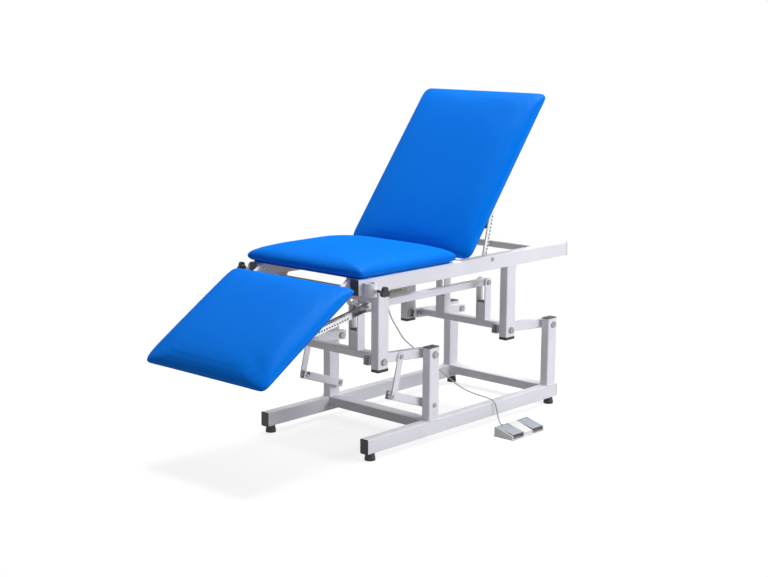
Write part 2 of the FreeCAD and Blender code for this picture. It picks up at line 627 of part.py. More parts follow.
def middle_crossbar():
    """Square tube between the rails with two cheeks that carry the actuator's tail pin in upright slots."""
    x = LEG_X + MIDDLE_CROSS_X
    z = SEAT_PLANE - MIDDLE_CROSS_SIZE / 2
    bar = tube_y(x, -RAIL_INNER, 2 * RAIL_INNER, z, MIDDLE_CROSS_SIZE, MIDDLE_CROSS_SIZE)
    cheek_top = z - MIDDLE_CROSS_SIZE / 2
    tail_x = LEG_X + ACTUATOR_TAIL_X
    low = FORK_Z - CHEEK_SLOT_DOWN
    cheek_bottom = low - CHEEK_SLOT_RADIUS - CHEEK_EDGE
    cheeks = []
    for side in (-1, 1):
        inner = ACTUATOR_Y + side * (TAIL_EYE_WIDTH / 2 + FACE_GAP)
        start = point(tail_x, inner, (cheek_top + cheek_bottom) / 2)
        outward = Y * (side * CHEEK_PLATE)
        cheek = Part.Face(cheek_outline(tail_x, inner, cheek_bottom, cheek_top)).extrude(outward)
        slot_height = CHEEK_SLOT_UP + CHEEK_SLOT_DOWN + 2 * CHEEK_SLOT_RADIUS
        start.z = FORK_Z + (CHEEK_SLOT_UP - CHEEK_SLOT_DOWN) / 2
        slot = rounded_bar(start, outward, X, Z, 2 * CHEEK_SLOT_RADIUS, slot_height, CHEEK_SLOT_RADIUS - TUBE_WALL / 2)
        cheeks.append(cheek.cut(slot))
    return bar.fuse(cheeks)


def cheek_outline(x, y, bottom, top):
    """Plate outline with square upper corners and a round lower end."""
    half = CHEEK_WIDTH / 2
    shoulder = bottom + half
    corners = (point(x - half, y, shoulder), point(x - half, y, top), point(x + half, y, top),
               point(x + half, y, shoulder))
    edges = [Part.makeLine(corners[k], corners[k + 1]) for k in range(3)]
    edges.append(Part.Arc(corners[3], point(x, y, bottom), corners[0]).toShape())
    return Part.Wire(edges)


def hinge_pins():
    """Pins with a boss against the inner face of the rail, one per section and side."""
    pins = []
    for hinge, frame_y in ((BACK_HINGE, BACK_FRAME_Y), (LEG_HINGE, LEG_FRAME_Y)):
        half = SECTION_TUBE_WIDTH / 2
        pin = rod_y(hinge.x, hinge.z, frame_y - half - RATCHET_GAP, RAIL_INNER, PIVOT_RADIUS)
        pins += both_sides(pin.fuse(rod_y(hinge.x, hinge.z, frame_y + half + FACE_GAP, RAIL_INNER, HINGE_BOSS_RADIUS)))
    return pins


def socket_place():
    z = SEAT_PLANE - SOCKET_DROP - SOCKET_HEIGHT
    return point(TOP_RAIL_X + SOCKET_SETBACK, RAIL_OUTER + SOCKET_RADIUS - SOCKET_SADDLE, z)


def socket():
    """Upright clamp socket: a round tube with a flat saddle against the rail and a boss for the screw."""
    place = socket_place()
    screw_z = place.z + SOCKET_HEIGHT / 2
    body = Part.makeCylinder(SOCKET_RADIUS, SOCKET_HEIGHT, place, Z)
    body = body.fuse(rod_y(place.x, screw_z, place.y, place.y + SOCKET_RADIUS + SOCKET_BOSS, SOCKET_BOSS_RADIUS))
    body = body.cut(Part.makeCylinder(SOCKET_BORE_RADIUS, SOCKET_HEIGHT, place, Z))
    rail_side = Part.makeBox(4 * SOCKET_RADIUS, SOCKET_RADIUS, SOCKET_HEIGHT,
                             point(place.x - 2 * SOCKET_RADIUS, RAIL_OUTER - SOCKET_RADIUS, place.z))
    screw_hole = rod_y(place.x, screw_z, place.y, place.y + SOCKET_RADIUS + SOCKET_BOSS,
                       CLAMP_SCREW_RADIUS + RUNNING_CLEARANCE)
    return body.cut([rail_side, screw_hole])


def clamp_knob():
    """Three-lobed knob on a screw whose tip ends in the socket's wall."""
    place = socket_place()
    z = place.z + SOCKET_HEIGHT / 2
    tip = place.y + SOCKET_BORE_RADIUS + FACE_GAP
    face = tip + CLAMP_SCREW_LENGTH
    edges = []
    for lobe in range(3):
        turns = [math.radians(90 + 120 * lobe + step) for step in (-60, 0, 60)]
        reaches = (KNOB_WAIST, KNOB_RADIUS, KNOB_WAIST)
        ends = [point(place.x + r * math.cos(a), face, z + r * math.sin(a)) for r, a in zip(reaches, turns)]
        edges.append(Part.Arc(*ends).toShape())
    knob = Part.Face(Part.Wire(edges)).extrude(Y * KNOB_THICKNESS)
    hub = Part.makeCone(KNOB_WAIST - KNOB_HUB, KNOB_WAIST, KNOB_HUB, point(place.x, face - KNOB_HUB, z), Y)
    return knob.fuse([hub, rod_y(place.x, z, tip, face, CLAMP_SCREW_RADIUS)])


def cushion(start, length, plane, profile):
    """Padded block: rounded outlines stacked from the drawn-in underside over the swell to the crown."""
    loops = []
    middle = start + length / 2
    for inset, height in profile:
        size_x = length - 2 * inset
        size_y = 2 * (CUSHION_HALF_WIDTH - inset)
        corner = min(CUSHION_CORNER, size_x / 2 - TUBE_CORNER)
        loops.append(rounded_loop(point(middle, 0, plane + height), X, Y, size_x, size_y, corner))
    return Part.makeLoft(loops, True, True)


def board(start, length, plane):
    centre = point(start + length / 2, 0, plane)
    width = 2 * (CUSHION_HALF_WIDTH - BOARD_INSET)
    return rounded_bar(centre, Z * BOARD, X, Y, length - 2 * BOARD_INSET, width, CUSHION_CORNER - BOARD_INSET / 2)


def padded(start, length, profile):
    panel = board(start, length, SEAT_PLANE)
    return panel, cushion(start, length, SEAT_PLANE, profile).cut(panel)


def section_frame(hinge, ahead, frame_y, length, crosses, pin_place, pin_rise, stud_from, stud_to):
    """Two side tubes under a board, each with a hinge eye and a ratchet stud, joined by cross tubes."""
    z = SEAT_PLANE - SECTION_TUBE_DEPTH / 2
    start = min(hinge.x, hinge.x + ahead * length)
    half = SECTION_TUBE_WIDTH / 2
    side = tube_x(start, length, frame_y, z, SECTION_TUBE_WIDTH, SECTION_TUBE_DEPTH)
    eye_radius = SEAT_PLANE - hinge.z - HINGE_EYE_GAP
    side = side.fuse(rod_y(hinge.x, hinge.z, frame_y - half, frame_y + half, eye_radius))
    side = side.cut(rod_y(hinge.x, hinge.z, frame_y - half, frame_y + half, PIVOT_RADIUS + RUNNING_CLEARANCE))
    side = side.fuse(rod_y(hinge.x + ahead * pin_place, hinge.z + pin_rise, stud_from, stud_to, RATCHET_PIN_RADIUS))
    inner = frame_y - half
    tubes = both_sides(side)
    for place in crosses:
        tubes.append(tube_y(hinge.x + ahead * place, -inner, 2 * inner, SEAT_PLANE - SECTION_CROSS_DEPTH / 2,
                            SECTION_CROSS_WIDTH, SECTION_CROSS_DEPTH))
    return tubes


def toothed_bar(length, y_from, y_to, teeth_up):
    """Flat bar from its pivot along +X with saw teeth along one edge."""
    half = RATCHET_WIDTH / 2
    edge = half if teeth_up else -half
    bar = strap(length, RATCHET_WIDTH, half, y_from, y_to, RATCHET_PIN_RADIUS + RUNNING_CLEARANCE)
    teeth = int((length - 2 * RATCHET_WIDTH) / TOOTH_PITCH)
    inward = -1 if teeth_up else 1
    notches = []
    for k in range(teeth):
        x = RATCHET_WIDTH + k * TOOTH_PITCH
        corners = [point(x, y_from, edge), point(x + TOOTH_PITCH * TOOTH_SHARE, y_from, edge),
                   point(x, y_from, edge + inward * TOOTH_DEPTH)]
        notches.append(Part.Face(Part.makePolygon(corners + corners[:1])).extrude(Y * (y_to - y_from)))
    return bar.cut(notches)


def folded_channel(length, y_from, y_to):
    """Channel from its pivot along +X, folded from sheet with its open side outwards."""
    width = RATCHET_WIDTH + 2 * CHANNEL_WALL
    outer = Part.makeBox(length + CHANNEL_TAIL, y_to - y_from, width, point(-CHANNEL_TAIL, y_from, -width / 2))
    core = Part.makeBox(length + CHANNEL_TAIL, y_to - y_from, RATCHET_WIDTH,
                        point(-CHANNEL_TAIL, y_from + CHANNEL_WALL, -RATCHET_WIDTH / 2))
    return outer.cut([core, rod_y(0, 0, y_from, y_to, RATCHET_PIN_RADIUS + RUNNING_CLEARANCE)])


def section_nodes():
    """Seat fixed on the rails; back and leg section drawn level and turned to their rest angles."""
    nodes = {}
    seat_start = TOP_RAIL_X - SEAT_OVERHANG - CAP_RIM
    nodes["seat_board"], nodes["seat_cushion"] = padded(seat_start, SEAT_LENGTH, SEAT_PROFILE)
    back_board, back_cushion = padded(BACK_HINGE.x + BACK_START, BACK_PAD_LENGTH, SECTION_PROFILE)
    back_frame = section_frame(BACK_HINGE, 1, BACK_FRAME_Y, BACK_FRAME_LENGTH, BACK_CROSSES, BACK_PIN_PLACE,
                               BACK_PIN_RISE, BACK_FRAME_Y, back_ratchet_layers()[2])
    leg_start = LEG_HINGE.x - LEG_START - LEG_PAD_LENGTH
    leg_board, leg_cushion = padded(leg_start, LEG_PAD_LENGTH, SECTION_PROFILE)
    leg_frame = section_frame(LEG_HINGE, -1, LEG_FRAME_Y, LEG_FRAME_LENGTH, LEG_CROSSES, LEG_PIN_PLACE, 0,
                              leg_ratchet_layers()[1], LEG_FRAME_Y)
    for name, shape in (("board", back_board), ("cushion", back_cushion), ("frame", group(back_frame))):
        nodes["back_" + name] = tilt(shape, BACK_HINGE, -BACK_REST_DEG)
    for name, shape in (("board", leg_board), ("cushion", leg_cushion), ("frame", group(leg_frame))):
        nodes["leg_" + name] = tilt(shape, LEG_HINGE, -LEG_REST_DEG)
    return nodes


def section_pins():
    """Where the ratchets pivot on the back frame and on the leg frame, at rest."""
    back = point(BACK_HINGE.x + BACK_PIN_PLACE, 0, BACK_HINGE.z + BACK_PIN_RISE)
    leg = point(LEG_HINGE.x - LEG_PIN_PLACE, 0, LEG_HINGE.z)
    turn_back = FreeCAD.Rotation(Y, -BACK_REST_DEG)
    turn_leg = FreeCAD.Rotation(Y, -LEG_REST_DEG)
    return (BACK_HINGE + turn_back.multVec(back - BACK_HINGE), LEG_HINGE + turn_leg.multVec(leg - LEG_HINGE))


def ratchet_nodes():
    back_pin, leg_pin = section_pins()
    back_bolt = point(LEG_X + BACK_BOLT_X, 0, SEAT_PLANE - BACK_BOLT_DROP)
    bar_outer, bar_inner, channel_outer, channel_inner = back_ratchet_layers()
    back_bar = toothed_bar(BACK_RATCHET_LENGTH, bar_inner, bar_outer, False)
    back_channel = folded_channel(BACK_RATCHET_LENGTH, channel_inner, channel_outer)
    leg_lug = leg_ratchet_lug()
    bar_outer, bar_inner, channel_outer, channel_inner = leg_ratchet_layers()
    leg_channel = folded_channel(LEG_RATCHET_LENGTH, channel_inner, channel_outer)
    leg_bar = toothed_bar(LEG_RATCHET_LENGTH, bar_inner, bar_outer, True)
    return {
        "back_ratchet_bars": group(both_sides(aimed(back_bar, back_bolt, back_pin))),
        "back_ratchet_channels": group(both_sides(aimed(back_channel, back_pin, back_bolt))),
        "leg_ratchet_channels": group(both_sides(aimed(leg_channel, leg_lug, leg_pin))),
        "leg_ratchet_bars": group(both_sides(aimed(leg_bar, leg_pin, leg_lug))),
    }


def actuator_nodes():
    """Moulded housing with the motor under its guide tube, and the rod that runs in the tube."""
    tail = point(LEG_X + ACTUATOR_TAIL_X, ACTUATOR_Y, FORK_Z)
    gear_x = tail.x + GEARBOX_START
    gear_end = gear_x + GEARBOX_LENGTH
    gear_z = FORK_Z + ACTUATOR_TUBE_RADIUS + TUBE_CORNER - GEARBOX_HEIGHT / 2
    housing = rounded_bar(point(gear_x, ACTUATOR_Y, gear_z), X * GEARBOX_LENGTH, Y, Z, GEARBOX_WIDTH, GEARBOX_HEIGHT,
                          GEARBOX_CORNER)
    guide = Part.makeCylinder(ACTUATOR_TUBE_RADIUS, ACTUATOR_TUBE_LENGTH, point(gear_end, ACTUATOR_Y, FORK_Z), X)
    motor_z = FORK_Z - MOTOR_DROP
    motor = Part.makeCylinder(MOTOR_RADIUS, MOTOR_LENGTH, point(gear_end, ACTUATOR_Y, motor_z), X)
    nose = Part.makeCone(MOTOR_RADIUS, MOTOR_RADIUS - MOTOR_NOSE, MOTOR_NOSE,
                         point(gear_end + MOTOR_LENGTH, ACTUATOR_Y, motor_z), X)
    eye_half = TAIL_EYE_WIDTH / 2
    eye = rod_y(tail.x, FORK_Z, ACTUATOR_Y - eye_half, ACTUATOR_Y + eye_half, TAIL_EYE_RADIUS)
    neck = Part.makeBox(GEARBOX_START, TAIL_EYE_WIDTH, 2 * TAIL_EYE_RADIUS,
                        point(tail.x, ACTUATOR_Y - eye_half, FORK_Z - TAIL_EYE_RADIUS))
    pin_half = eye_half + FACE_GAP + CHEEK_PLATE
    pin = rod_y(tail.x, FORK_Z, ACTUATOR_Y - pin_half, ACTUATOR_Y + pin_half, TAIL_PIN_RADIUS)
    housing = housing.fuse([guide, motor, nose, eye, neck, pin])
    guide_end = gear_end + ACTUATOR_TUBE_LENGTH
    bore = Part.makeCylinder(ROD_RADIUS + FACE_GAP, ROD_BORE_DEPTH,
                             point(guide_end - ROD_BORE_DEPTH, ACTUATOR_Y, FORK_Z), X)
    rod_start = guide_end - ROD_INSIDE
    rod = Part.makeCylinder(ROD_RADIUS, REAR_FORK_X - rod_start, point(rod_start, ACTUATOR_Y, FORK_Z), X)
    rod_half = ROD_EYE_WIDTH / 2
    rod = rod.fuse([rod_y(REAR_FORK_X, FORK_Z, ACTUATOR_Y - rod_half, ACTUATOR_Y + rod_half, ROD_EYE_RADIUS),
                    fork_pin(REAR_FORK_X, ACTUATOR_Y)])
    return {"actuator_body": housing.cut(bore), "actuator_rod": rod}


def control_box():
    """Moulded box screwed under the seat board, with a cable gland below and a power inlet behind."""
    start = LEG_X + BOX_X
    bottom = SEAT_PLANE - BOX_HEIGHT
    box = rounded_bar(point(start + BOX_LENGTH / 2, BOX_Y, bottom), Z * BOX_HEIGHT, X, Y, BOX_LENGTH, BOX_WIDTH,
                      BOX_CORNER)
    gland = Part.makeCone(GLAND_RADIUS, GLAND_RADIUS - TUBE_WALL, GLAND_LENGTH,
                          point(start + BOX_GLAND_X, BOX_GLAND_Y, bottom), Z * -1)
    inlet = Part.makeBox(INLET_DEPTH, INLET_WIDTH, INLET_HEIGHT,
                         point(start + BOX_LENGTH - INLET_DEPTH, BOX_Y - INLET_WIDTH / 2, bottom + INLET_HEIGHT / 2))
    return box.cut(inlet).fuse(gland)


def foot_switch_nodes():
    """Tray with three cheeks; a pedal is hinged between each two of them."""
    back = SWITCH_Y + SWITCH_DEPTH
    hinge_y = back - PEDAL_HINGE_SETBACK
    tray = rounded_bar(point(SWITCH_X + SWITCH_LENGTH / 2, SWITCH_Y + SWITCH_DEPTH / 2, 0), Z * SWITCH_FLOOR, X, Y,
                       SWITCH_LENGTH, SWITCH_DEPTH, SWITCH_CORNER)
    pocket = PEDAL_WIDTH + 2 * FACE_GAP
    middle_width = SWITCH_LENGTH - 2 * SWITCH_CHEEK - 2 * pocket
    cheeks = ((SWITCH_X, SWITCH_CHEEK), (SWITCH_X + SWITCH_CHEEK + pocket, middle_width),
              (SWITCH_X + SWITCH_LENGTH - SWITCH_CHEEK, SWITCH_CHEEK))
    for x, width in cheeks:
        side = [(back - SWITCH_CORNER, 0), (back - SWITCH_CORNER, SWITCH_BACK_HEIGHT - SWITCH_CORNER),
                (back - 2 * SWITCH_CORNER, SWITCH_BACK_HEIGHT), (hinge_y - PEDAL_BARREL_RADIUS, SWITCH_BACK_HEIGHT),
                (SWITCH_Y + SWITCH_CORNER, SWITCH_FRONT_HEIGHT), (SWITCH_Y + SWITCH_CORNER, 0)]
        corners = [point(x, y, z) for y, z in side]
        tray = tray.fuse(Part.Face(Part.makePolygon(corners + corners[:1])).extrude(X * width))
    pin_length = SWITCH_LENGTH - SWITCH_CHEEK
    pin = Part.makeCylinder(PEDAL_PIN_RADIUS, pin_length,
                            point(SWITCH_X + SWITCH_CHEEK / 2, hinge_y, PEDAL_HINGE_HEIGHT), X)
    gland = Part.makeCone(GLAND_RADIUS, GLAND_RADIUS - TUBE_WALL, GLAND_LENGTH,
                          point(SWITCH_X + SWITCH_LENGTH / 2, back - SWITCH_CORNER, SWITCH_FRONT_HEIGHT), Y)
    nodes = {"foot_switch_base": tray.fuse([pin, gland])}
    for name, x in (("down", SWITCH_X + SWITCH_CHEEK + FACE_GAP),
                    ("up", SWITCH_X + SWITCH_LENGTH - SWITCH_CHEEK - FACE_GAP - PEDAL_WIDTH)):
        nodes["foot_pedal_" + name] = foot_pedal(x, hinge_y)
    return nodes


def foot_pedal(x, hinge_y):
    """Ribbed pedal plate with a barrel at its back edge, sloping down to the front."""
    hinge = point(x, hinge_y, PEDAL_HINGE_HEIGHT)
    reach = PEDAL_LENGTH - PEDAL_BARREL_RADIUS
    plate = rounded_bar(point(x + PEDAL_WIDTH / 2, hinge_y - reach / 2, PEDAL_HINGE_HEIGHT), Z * PEDAL_PLATE, X, Y,
                        PEDAL_WIDTH, reach, SWITCH_CORNER)
    barrel = Part.makeCylinder(PEDAL_BARREL_RADIUS, PEDAL_WIDTH, hinge, X)
    ribs = []
    pitch = reach / (PEDAL_RIBS + 1)
    for k in range(1, PEDAL_RIBS + 1):
        ribs.append(Part.makeBox(PEDAL_WIDTH - 2 * SWITCH_CORNER, 2 * PEDAL_RIB, PEDAL_RIB,
                                 point(x + SWITCH_CORNER, hinge_y - k * pitch, PEDAL_HINGE_HEIGHT + PEDAL_PLATE)))
    pedal = plate.fuse([barrel] + ribs)
    pedal = pedal.cut(Part.makeCylinder(PEDAL_PIN_RADIUS + RUNNING_CLEARANCE, PEDAL_WIDTH, hinge, X))
    return pedal.rotated(hinge, X, PEDAL_SLOPE_DEG)


def cable():
    """Cable along straight runs joined by tangent arcs; prints its length and its tightest bend."""
    route = [point(*place) for place in CABLE_ROUTE]
    edges = []
    start = route[0]
    radii = []
    for before, corner, after in zip(route, route[1:], route[2:]):
        back = before - corner
        ahead = after - corner
        turn = math.pi - back.getAngle(ahead)
        reach = CABLE_ARC_SHARE * min(back.Length, ahead.Length)
        radius = reach / math.tan(turn / 2)
        back.normalize()
        ahead.normalize()
        bisector = back + ahead
        bisector.normalize()
        centre = corner + bisector * (reach / math.sin(turn / 2))
        enter = corner + back * reach
        leave = corner + ahead * reach
        edges.append(Part.LineSegment(start, enter).toShape())
        edges.append(Part.Arc(enter, centre - bisector * radius, leave).toShape())
        radii.append(radius)
        start = leave
    edges.append(Part.LineSegment(start, route[-1]).toShape())
    path = Part.Wire(edges)
    first_run = route[1] - route[0]
    across = first_run.cross(Y).normalize()
    beside = first_run.cross(across).normalize()
    step = 2 * math.pi / CABLE_SIDES
    corner_reach = CABLE_RADIUS * math.sqrt(step / math.sin(step))
    corners = [route[0] + (across * math.cos(step * k) + beside * math.sin(step * k)) * corner_reach
               for k in range(CABLE_SIDES)]
    solid = path.makePipeShell([Part.makePolygon(corners + corners[:1])], True, False)
    expected = path.Length * math.pi * CABLE_RADIUS ** 2
    print("cable length %.0f, tightest bend %.1f, volume ratio %.4f" % (path.Length, min(radii), solid.Volume / expected))
    return solid


def main():
    nodes = {}
    for part in (base_nodes, lift_nodes, stay_nodes, top_frame_nodes, section_nodes, ratchet_nodes, actuator_nodes,
                 foot_switch_nodes):
        nodes.update(part())
    knob = clamp_knob()
    nodes["clamp_knob_near"] = mirrored(knob)
    nodes["clamp_knob_far"] = knob
    nodes["control_box"] = control_box()
    nodes["foot_switch_cable"] = cable()
    os.makedirs("parts", exist_ok=True)
    for name, shape in nodes.items():
        shape.translated(point(-ORIGIN_X, -ORIGIN_Y, 0)).exportStep("parts/%s.step" % name)
    return nodes


main()
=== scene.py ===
import bmesh
import bpy
import json
import math
import numpy as np
from mathutils import Matrix, Vector


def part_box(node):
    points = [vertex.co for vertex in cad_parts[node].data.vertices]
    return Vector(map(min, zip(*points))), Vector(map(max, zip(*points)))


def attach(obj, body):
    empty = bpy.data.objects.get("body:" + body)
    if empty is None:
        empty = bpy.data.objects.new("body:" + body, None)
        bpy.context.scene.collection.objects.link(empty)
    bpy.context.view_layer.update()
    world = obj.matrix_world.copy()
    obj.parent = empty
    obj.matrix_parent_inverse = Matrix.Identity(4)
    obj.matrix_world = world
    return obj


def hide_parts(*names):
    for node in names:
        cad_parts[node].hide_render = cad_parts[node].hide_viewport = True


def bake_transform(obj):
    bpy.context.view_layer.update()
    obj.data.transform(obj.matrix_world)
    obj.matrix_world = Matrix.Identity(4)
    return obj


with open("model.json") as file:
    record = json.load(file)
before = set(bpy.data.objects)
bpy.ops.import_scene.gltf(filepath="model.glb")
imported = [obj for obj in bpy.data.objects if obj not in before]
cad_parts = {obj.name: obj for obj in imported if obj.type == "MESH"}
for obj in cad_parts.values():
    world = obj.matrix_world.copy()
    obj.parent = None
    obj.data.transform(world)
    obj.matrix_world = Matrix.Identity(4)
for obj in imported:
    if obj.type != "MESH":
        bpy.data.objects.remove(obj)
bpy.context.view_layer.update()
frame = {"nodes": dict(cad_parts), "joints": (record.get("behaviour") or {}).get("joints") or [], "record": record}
nodes = frame["nodes"]
scene = bpy.context.scene
joints = {joint["name"]: joint for joint in frame["joints"]}

# Photograph's camera
CAMERA_PLACE = (-4.22016, -3.85838, 1.68110)
CAMERA_TURN = (47.527, 10.677, 0.364)
CAMERA_LENS = 67.364

# Cable's route in metres, as in the part's source; it is held at the pivot just before one of its points
ROUTE_ORIGIN = (0.34944, -0.06435)
CABLE_ROUTE = (
    (0.205, -0.205, 0.6507), (0.206, -0.205, 0.596), (0.225, -0.206, 0.530), (0.268, -0.205, 0.474),
    (0.312, -0.204, 0.418), (0.362, -0.2025, 0.384), (0.418, -0.2015, 0.336), (0.478, -0.200, 0.292),
    (0.540, -0.201, 0.252), (0.595, -0.206, 0.209), (0.646, -0.229, 0.163), (0.696, -0.256, 0.133),
    (0.738, -0.279, 0.116), (0.770, -0.309, 0.098), (0.783, -0.314, 0.052), (0.781, -0.322, 0.025),
    (0.760, -0.350, 0.008), (0.731, -0.384, 0.014), (0.7225, -0.417, 0.018))
CABLE_HELD = 6
CABLE_RADIUS = 0.0025

# Edges that turn by more than this many degrees stay crisp on a smooth piece
CRISP_DEG = 50
PAD_CRISP_DEG = 60

# Padded sections in metres. A form is pairs of inset and height in millimetres, from the underside to the
# crown. The two corner radii are for the ends towards the foot and the head; the last number of a section is
# the size of its faces.
SEAT_HALF_WIDTH = 0.320
SECTION_HALF_WIDTH = 0.335
SEAT_LENGTH = 0.574
BACK_LENGTH = 0.817
LEG_LENGTH = 0.559
SEAT_CORNERS = (0.014, 0.024)
BACK_CORNERS = (0.036, 0.026)
LEG_CORNERS = (0.030, 0.020)
SEAT_SIZE = (SEAT_LENGTH, SEAT_HALF_WIDTH)
BACK_SIZE = (BACK_LENGTH, SECTION_HALF_WIDTH)
LEG_SIZE = (LEG_LENGTH, SECTION_HALF_WIDTH)
SEAT_FORM = ((24, 3), (12, 6), (5, 10), (1, 16), (0, 23), (2, 31), (9, 41), (24, 51), (52, 61), (90, 68),
             (140, 73), (200, 76), (262, 77))
SECTION_FORM = ((46, 3), (34, 2.5), (22, 1), (10, 0.8), (4, 1.5), (1, 4), (0, 9), (2, 18), (8, 28), (17, 36),
                (32, 44), (56, 51), (92, 57), (140, 61), (200, 63), (255, 63.5))
CORNER_GROWTH = 2.2
UNDER_GROWTH = 0.3
ARC_STEPS = 12
SECTIONS = (("seat", "top_frame", SEAT_SIZE, SEAT_CORNERS, SEAT_FORM, 0.0062),
            ("back", "back_section", BACK_SIZE, BACK_CORNERS, SECTION_FORM, 0.0070),
            ("leg", "leg_section", LEG_SIZE, LEG_CORNERS, SECTION_FORM, 0.0062))
BACK_START = 0.006
LEG_START = 0.056
BACK_REST_DEG = 52.3
LEG_REST_DEG = 32.7

# Cover: how far the foam blows it up, the gathers at its corners, its hem and the staples in it
SWELL_CAP = 0.004
SWELL_EASE = 40
SWELL_STEPS = 20
HELD_HEIGHT = 0.005
GATHER_HEIGHT = 0.024
GATHER_DEPTH = 0.0009
GATHER_SPREAD = 0.02
GATHERS = 26
HEM_OUTER = 0.021
HEM_INNER = 0.074
HEM_TOP = 0.0028
HEM_DEPTH = 0.0004
HEM_WAVES = ((0.003, 2.3, 0), (0.002, 5.1, 1))
HEM_SPREAD = 0.3
STAPLE_INSET = 0.056
STAPLE_DEPTH = 0.0005
STAPLE_PITCH = 0.024
STAPLE_LENGTH = 0.011
STAPLE_WIDTH = 0.0011
STAPLE_THICKNESS = 0.0006

# Steel frame: weld beads, washers under the pivot bolts' heads, slots of the toothed bars drawn as dark plates of
# painted shade
CROSS_DEPTH = 0.040
FLUSH_WELD = 0.0045
BEAD_PITCH = 0.0034
BEAD_RADIUS = 0.0032
BEAD_SPREAD = (0.82, 1.12)
ARM_BEAD = 0.0028
BOLT_HEAD = 0.009
BOLT_SIZE = 0.022
WASHER_RADIUS = 0.0105
WASHER_WIDTH = 0.009
WASHER_THICKNESS = 0.0018
RATCHET_BARS = (("leg", 0.330, 0.0035), ("back", 0.200, 0.006))
SLOT_PITCH = 0.014
SLOT_END = 0.024
SLOT_LENGTH = 0.0075
SLOT_WIDTH = 0.0065
SLOT_RISE = 0.0006

# Foot switch: ribbed treads and the arrows on them
PEDAL_SLOPE_DEG = 11
TREAD_BACK = 0.0035
TREAD_LENGTH = 0.0875
TREAD_LIFT = 0.0070
TREAD_BASE = 0.0006
TREAD_EDGE = 0.0015
TREAD_CROWN = 0.0014
TREAD_SKIRT = 0.0012
TREAD_GRID = (60, 16)
TREAD_ROUNDING = (14, 20)
RIB_HEIGHT = 0.0006
RIB_COUNT = 14
RIB_ROWS = (0.26, 0.94)
RIB_COLUMNS = (0.06, 0.94)
ARROW_MIDDLE = 0.0165
ARROW_HALF = 0.004
ARROW_WIDTH = 0.006
ARROW_HEIGHT = 0.0034
ARROW_TAPER = 0.8

# Floor, surround and lights: name, place, aim, size, power and colour of each softbox
FLOOR_HALF = 30
FLOOR_TONE = (0.40, 0.39, 0.385, 1)
FLOOR_SEEN_TONE = (0.30, 0.30, 0.30, 1)
FLOOR_GLOW = 0.80
FLOOR_FADE = (0.9, 2.0)
SKY_TONE = (0.97, 0.96, 1.0, 1)
SKY_RISE = (-0.05, 0.9)
SKY_STRENGTH = (0.03, 0.26)
SOFTBOXES = (
    ("side_softbox", (1.7, -4.8, 2.3), (0.1, 0.0, 0.6), (2.6, 2.2), 175.0, (0.90, 0.94, 1.0)),
    ("top_softbox", (1.1, 0.1, 7.0), (0.0, 0.0, 0.6), (3.2, 3.2), 505.0, (1, 1, 1)),
    ("front_softbox", (-2.9, -2.6, 1.5), (0.0, 0.0, 0.7), (0.8, 0.6), 7.0, (1, 1, 1)))


def add_node(tree, kind, **settings):
    """New node with its settings."""
    made = tree.nodes.new(kind)
    for name, value in settings.items():
        setattr(made, name, value)
    return made


def shader_group(name, inputs, outputs):
    """Empty shader group with named numbers in and out."""
    tree = bpy.data.node_groups.new(name, "ShaderNodeTree")
    for label, value in inputs:
        tree.interface.new_socket(label, in_out="INPUT", socket_type="NodeSocketFloat").default_value = value
    for label in outputs:
        tree.interface.new_socket(label, in_out="OUTPUT", socket_type="NodeSocketFloat")
    return tree, tree.nodes.new("NodeGroupInput"), tree.nodes.new("NodeGroupOutput")


def mottle_group():
    """Slow change of tone over a surface, between Low and High."""
    tree, given, made = shader_group("mottle", (("Scale", 6.0), ("Low", 0.0), ("High", 1.0)), ("Tone",))
    place = add_node(tree, "ShaderNodeTexCoord")
    cloud = add_node(tree, "ShaderNodeTexNoise")
    cloud.inputs["Detail"].default_value = 4.0
    spread = add_node(tree, "ShaderNodeMapRange")
    spread.inputs["From Min"].default_value = 0.32
    spread.inputs["From Max"].default_value = 0.68
    tree.links.new(place.outputs["Object"], cloud.inputs["Vector"])
    tree.links.new(given.outputs["Scale"], cloud.inputs["Scale"])
    tree.links.new(cloud.outputs["Fac"], spread.inputs["Value"])
    tree.links.new(given.outputs["Low"], spread.inputs["To Min"])
    tree.links.new(given.outputs["High"], spread.inputs["To Max"])
    tree.links.new(spread.outputs["Result"], made.inputs["Tone"])
    return tree


def skin_group():
    """Fine unevenness of sprayed paint or moulded plastic, with a slower swell under it."""
    tree, given, made = shader_group("sprayed_skin", (("Scale", 900.0), ("Swell", 60.0)), ("Height",))
    place = add_node(tree, "ShaderNodeTexCoord")
    fine = add_node(tree, "ShaderNodeTexNoise")
    slow = add_node(tree, "ShaderNodeTexNoise")
    both = add_node(tree, "ShaderNodeMath", operation="MULTIPLY_ADD")
    both.inputs[1].default_value = 0.6
    for cloud, scale in ((fine, "Scale"), (slow, "Swell")):
        tree.links.new(place.outputs["Object"], cloud.inputs["Vector"])
        tree.links.new(given.outputs[scale], cloud.inputs["Scale"])
    tree.links.new(slow.outputs["Fac"], both.inputs[0])
    tree.links.new(fine.outputs["Fac"], both.inputs[2])
    tree.links.new(both.outputs["Value"], made.inputs["Height"])
    return tree


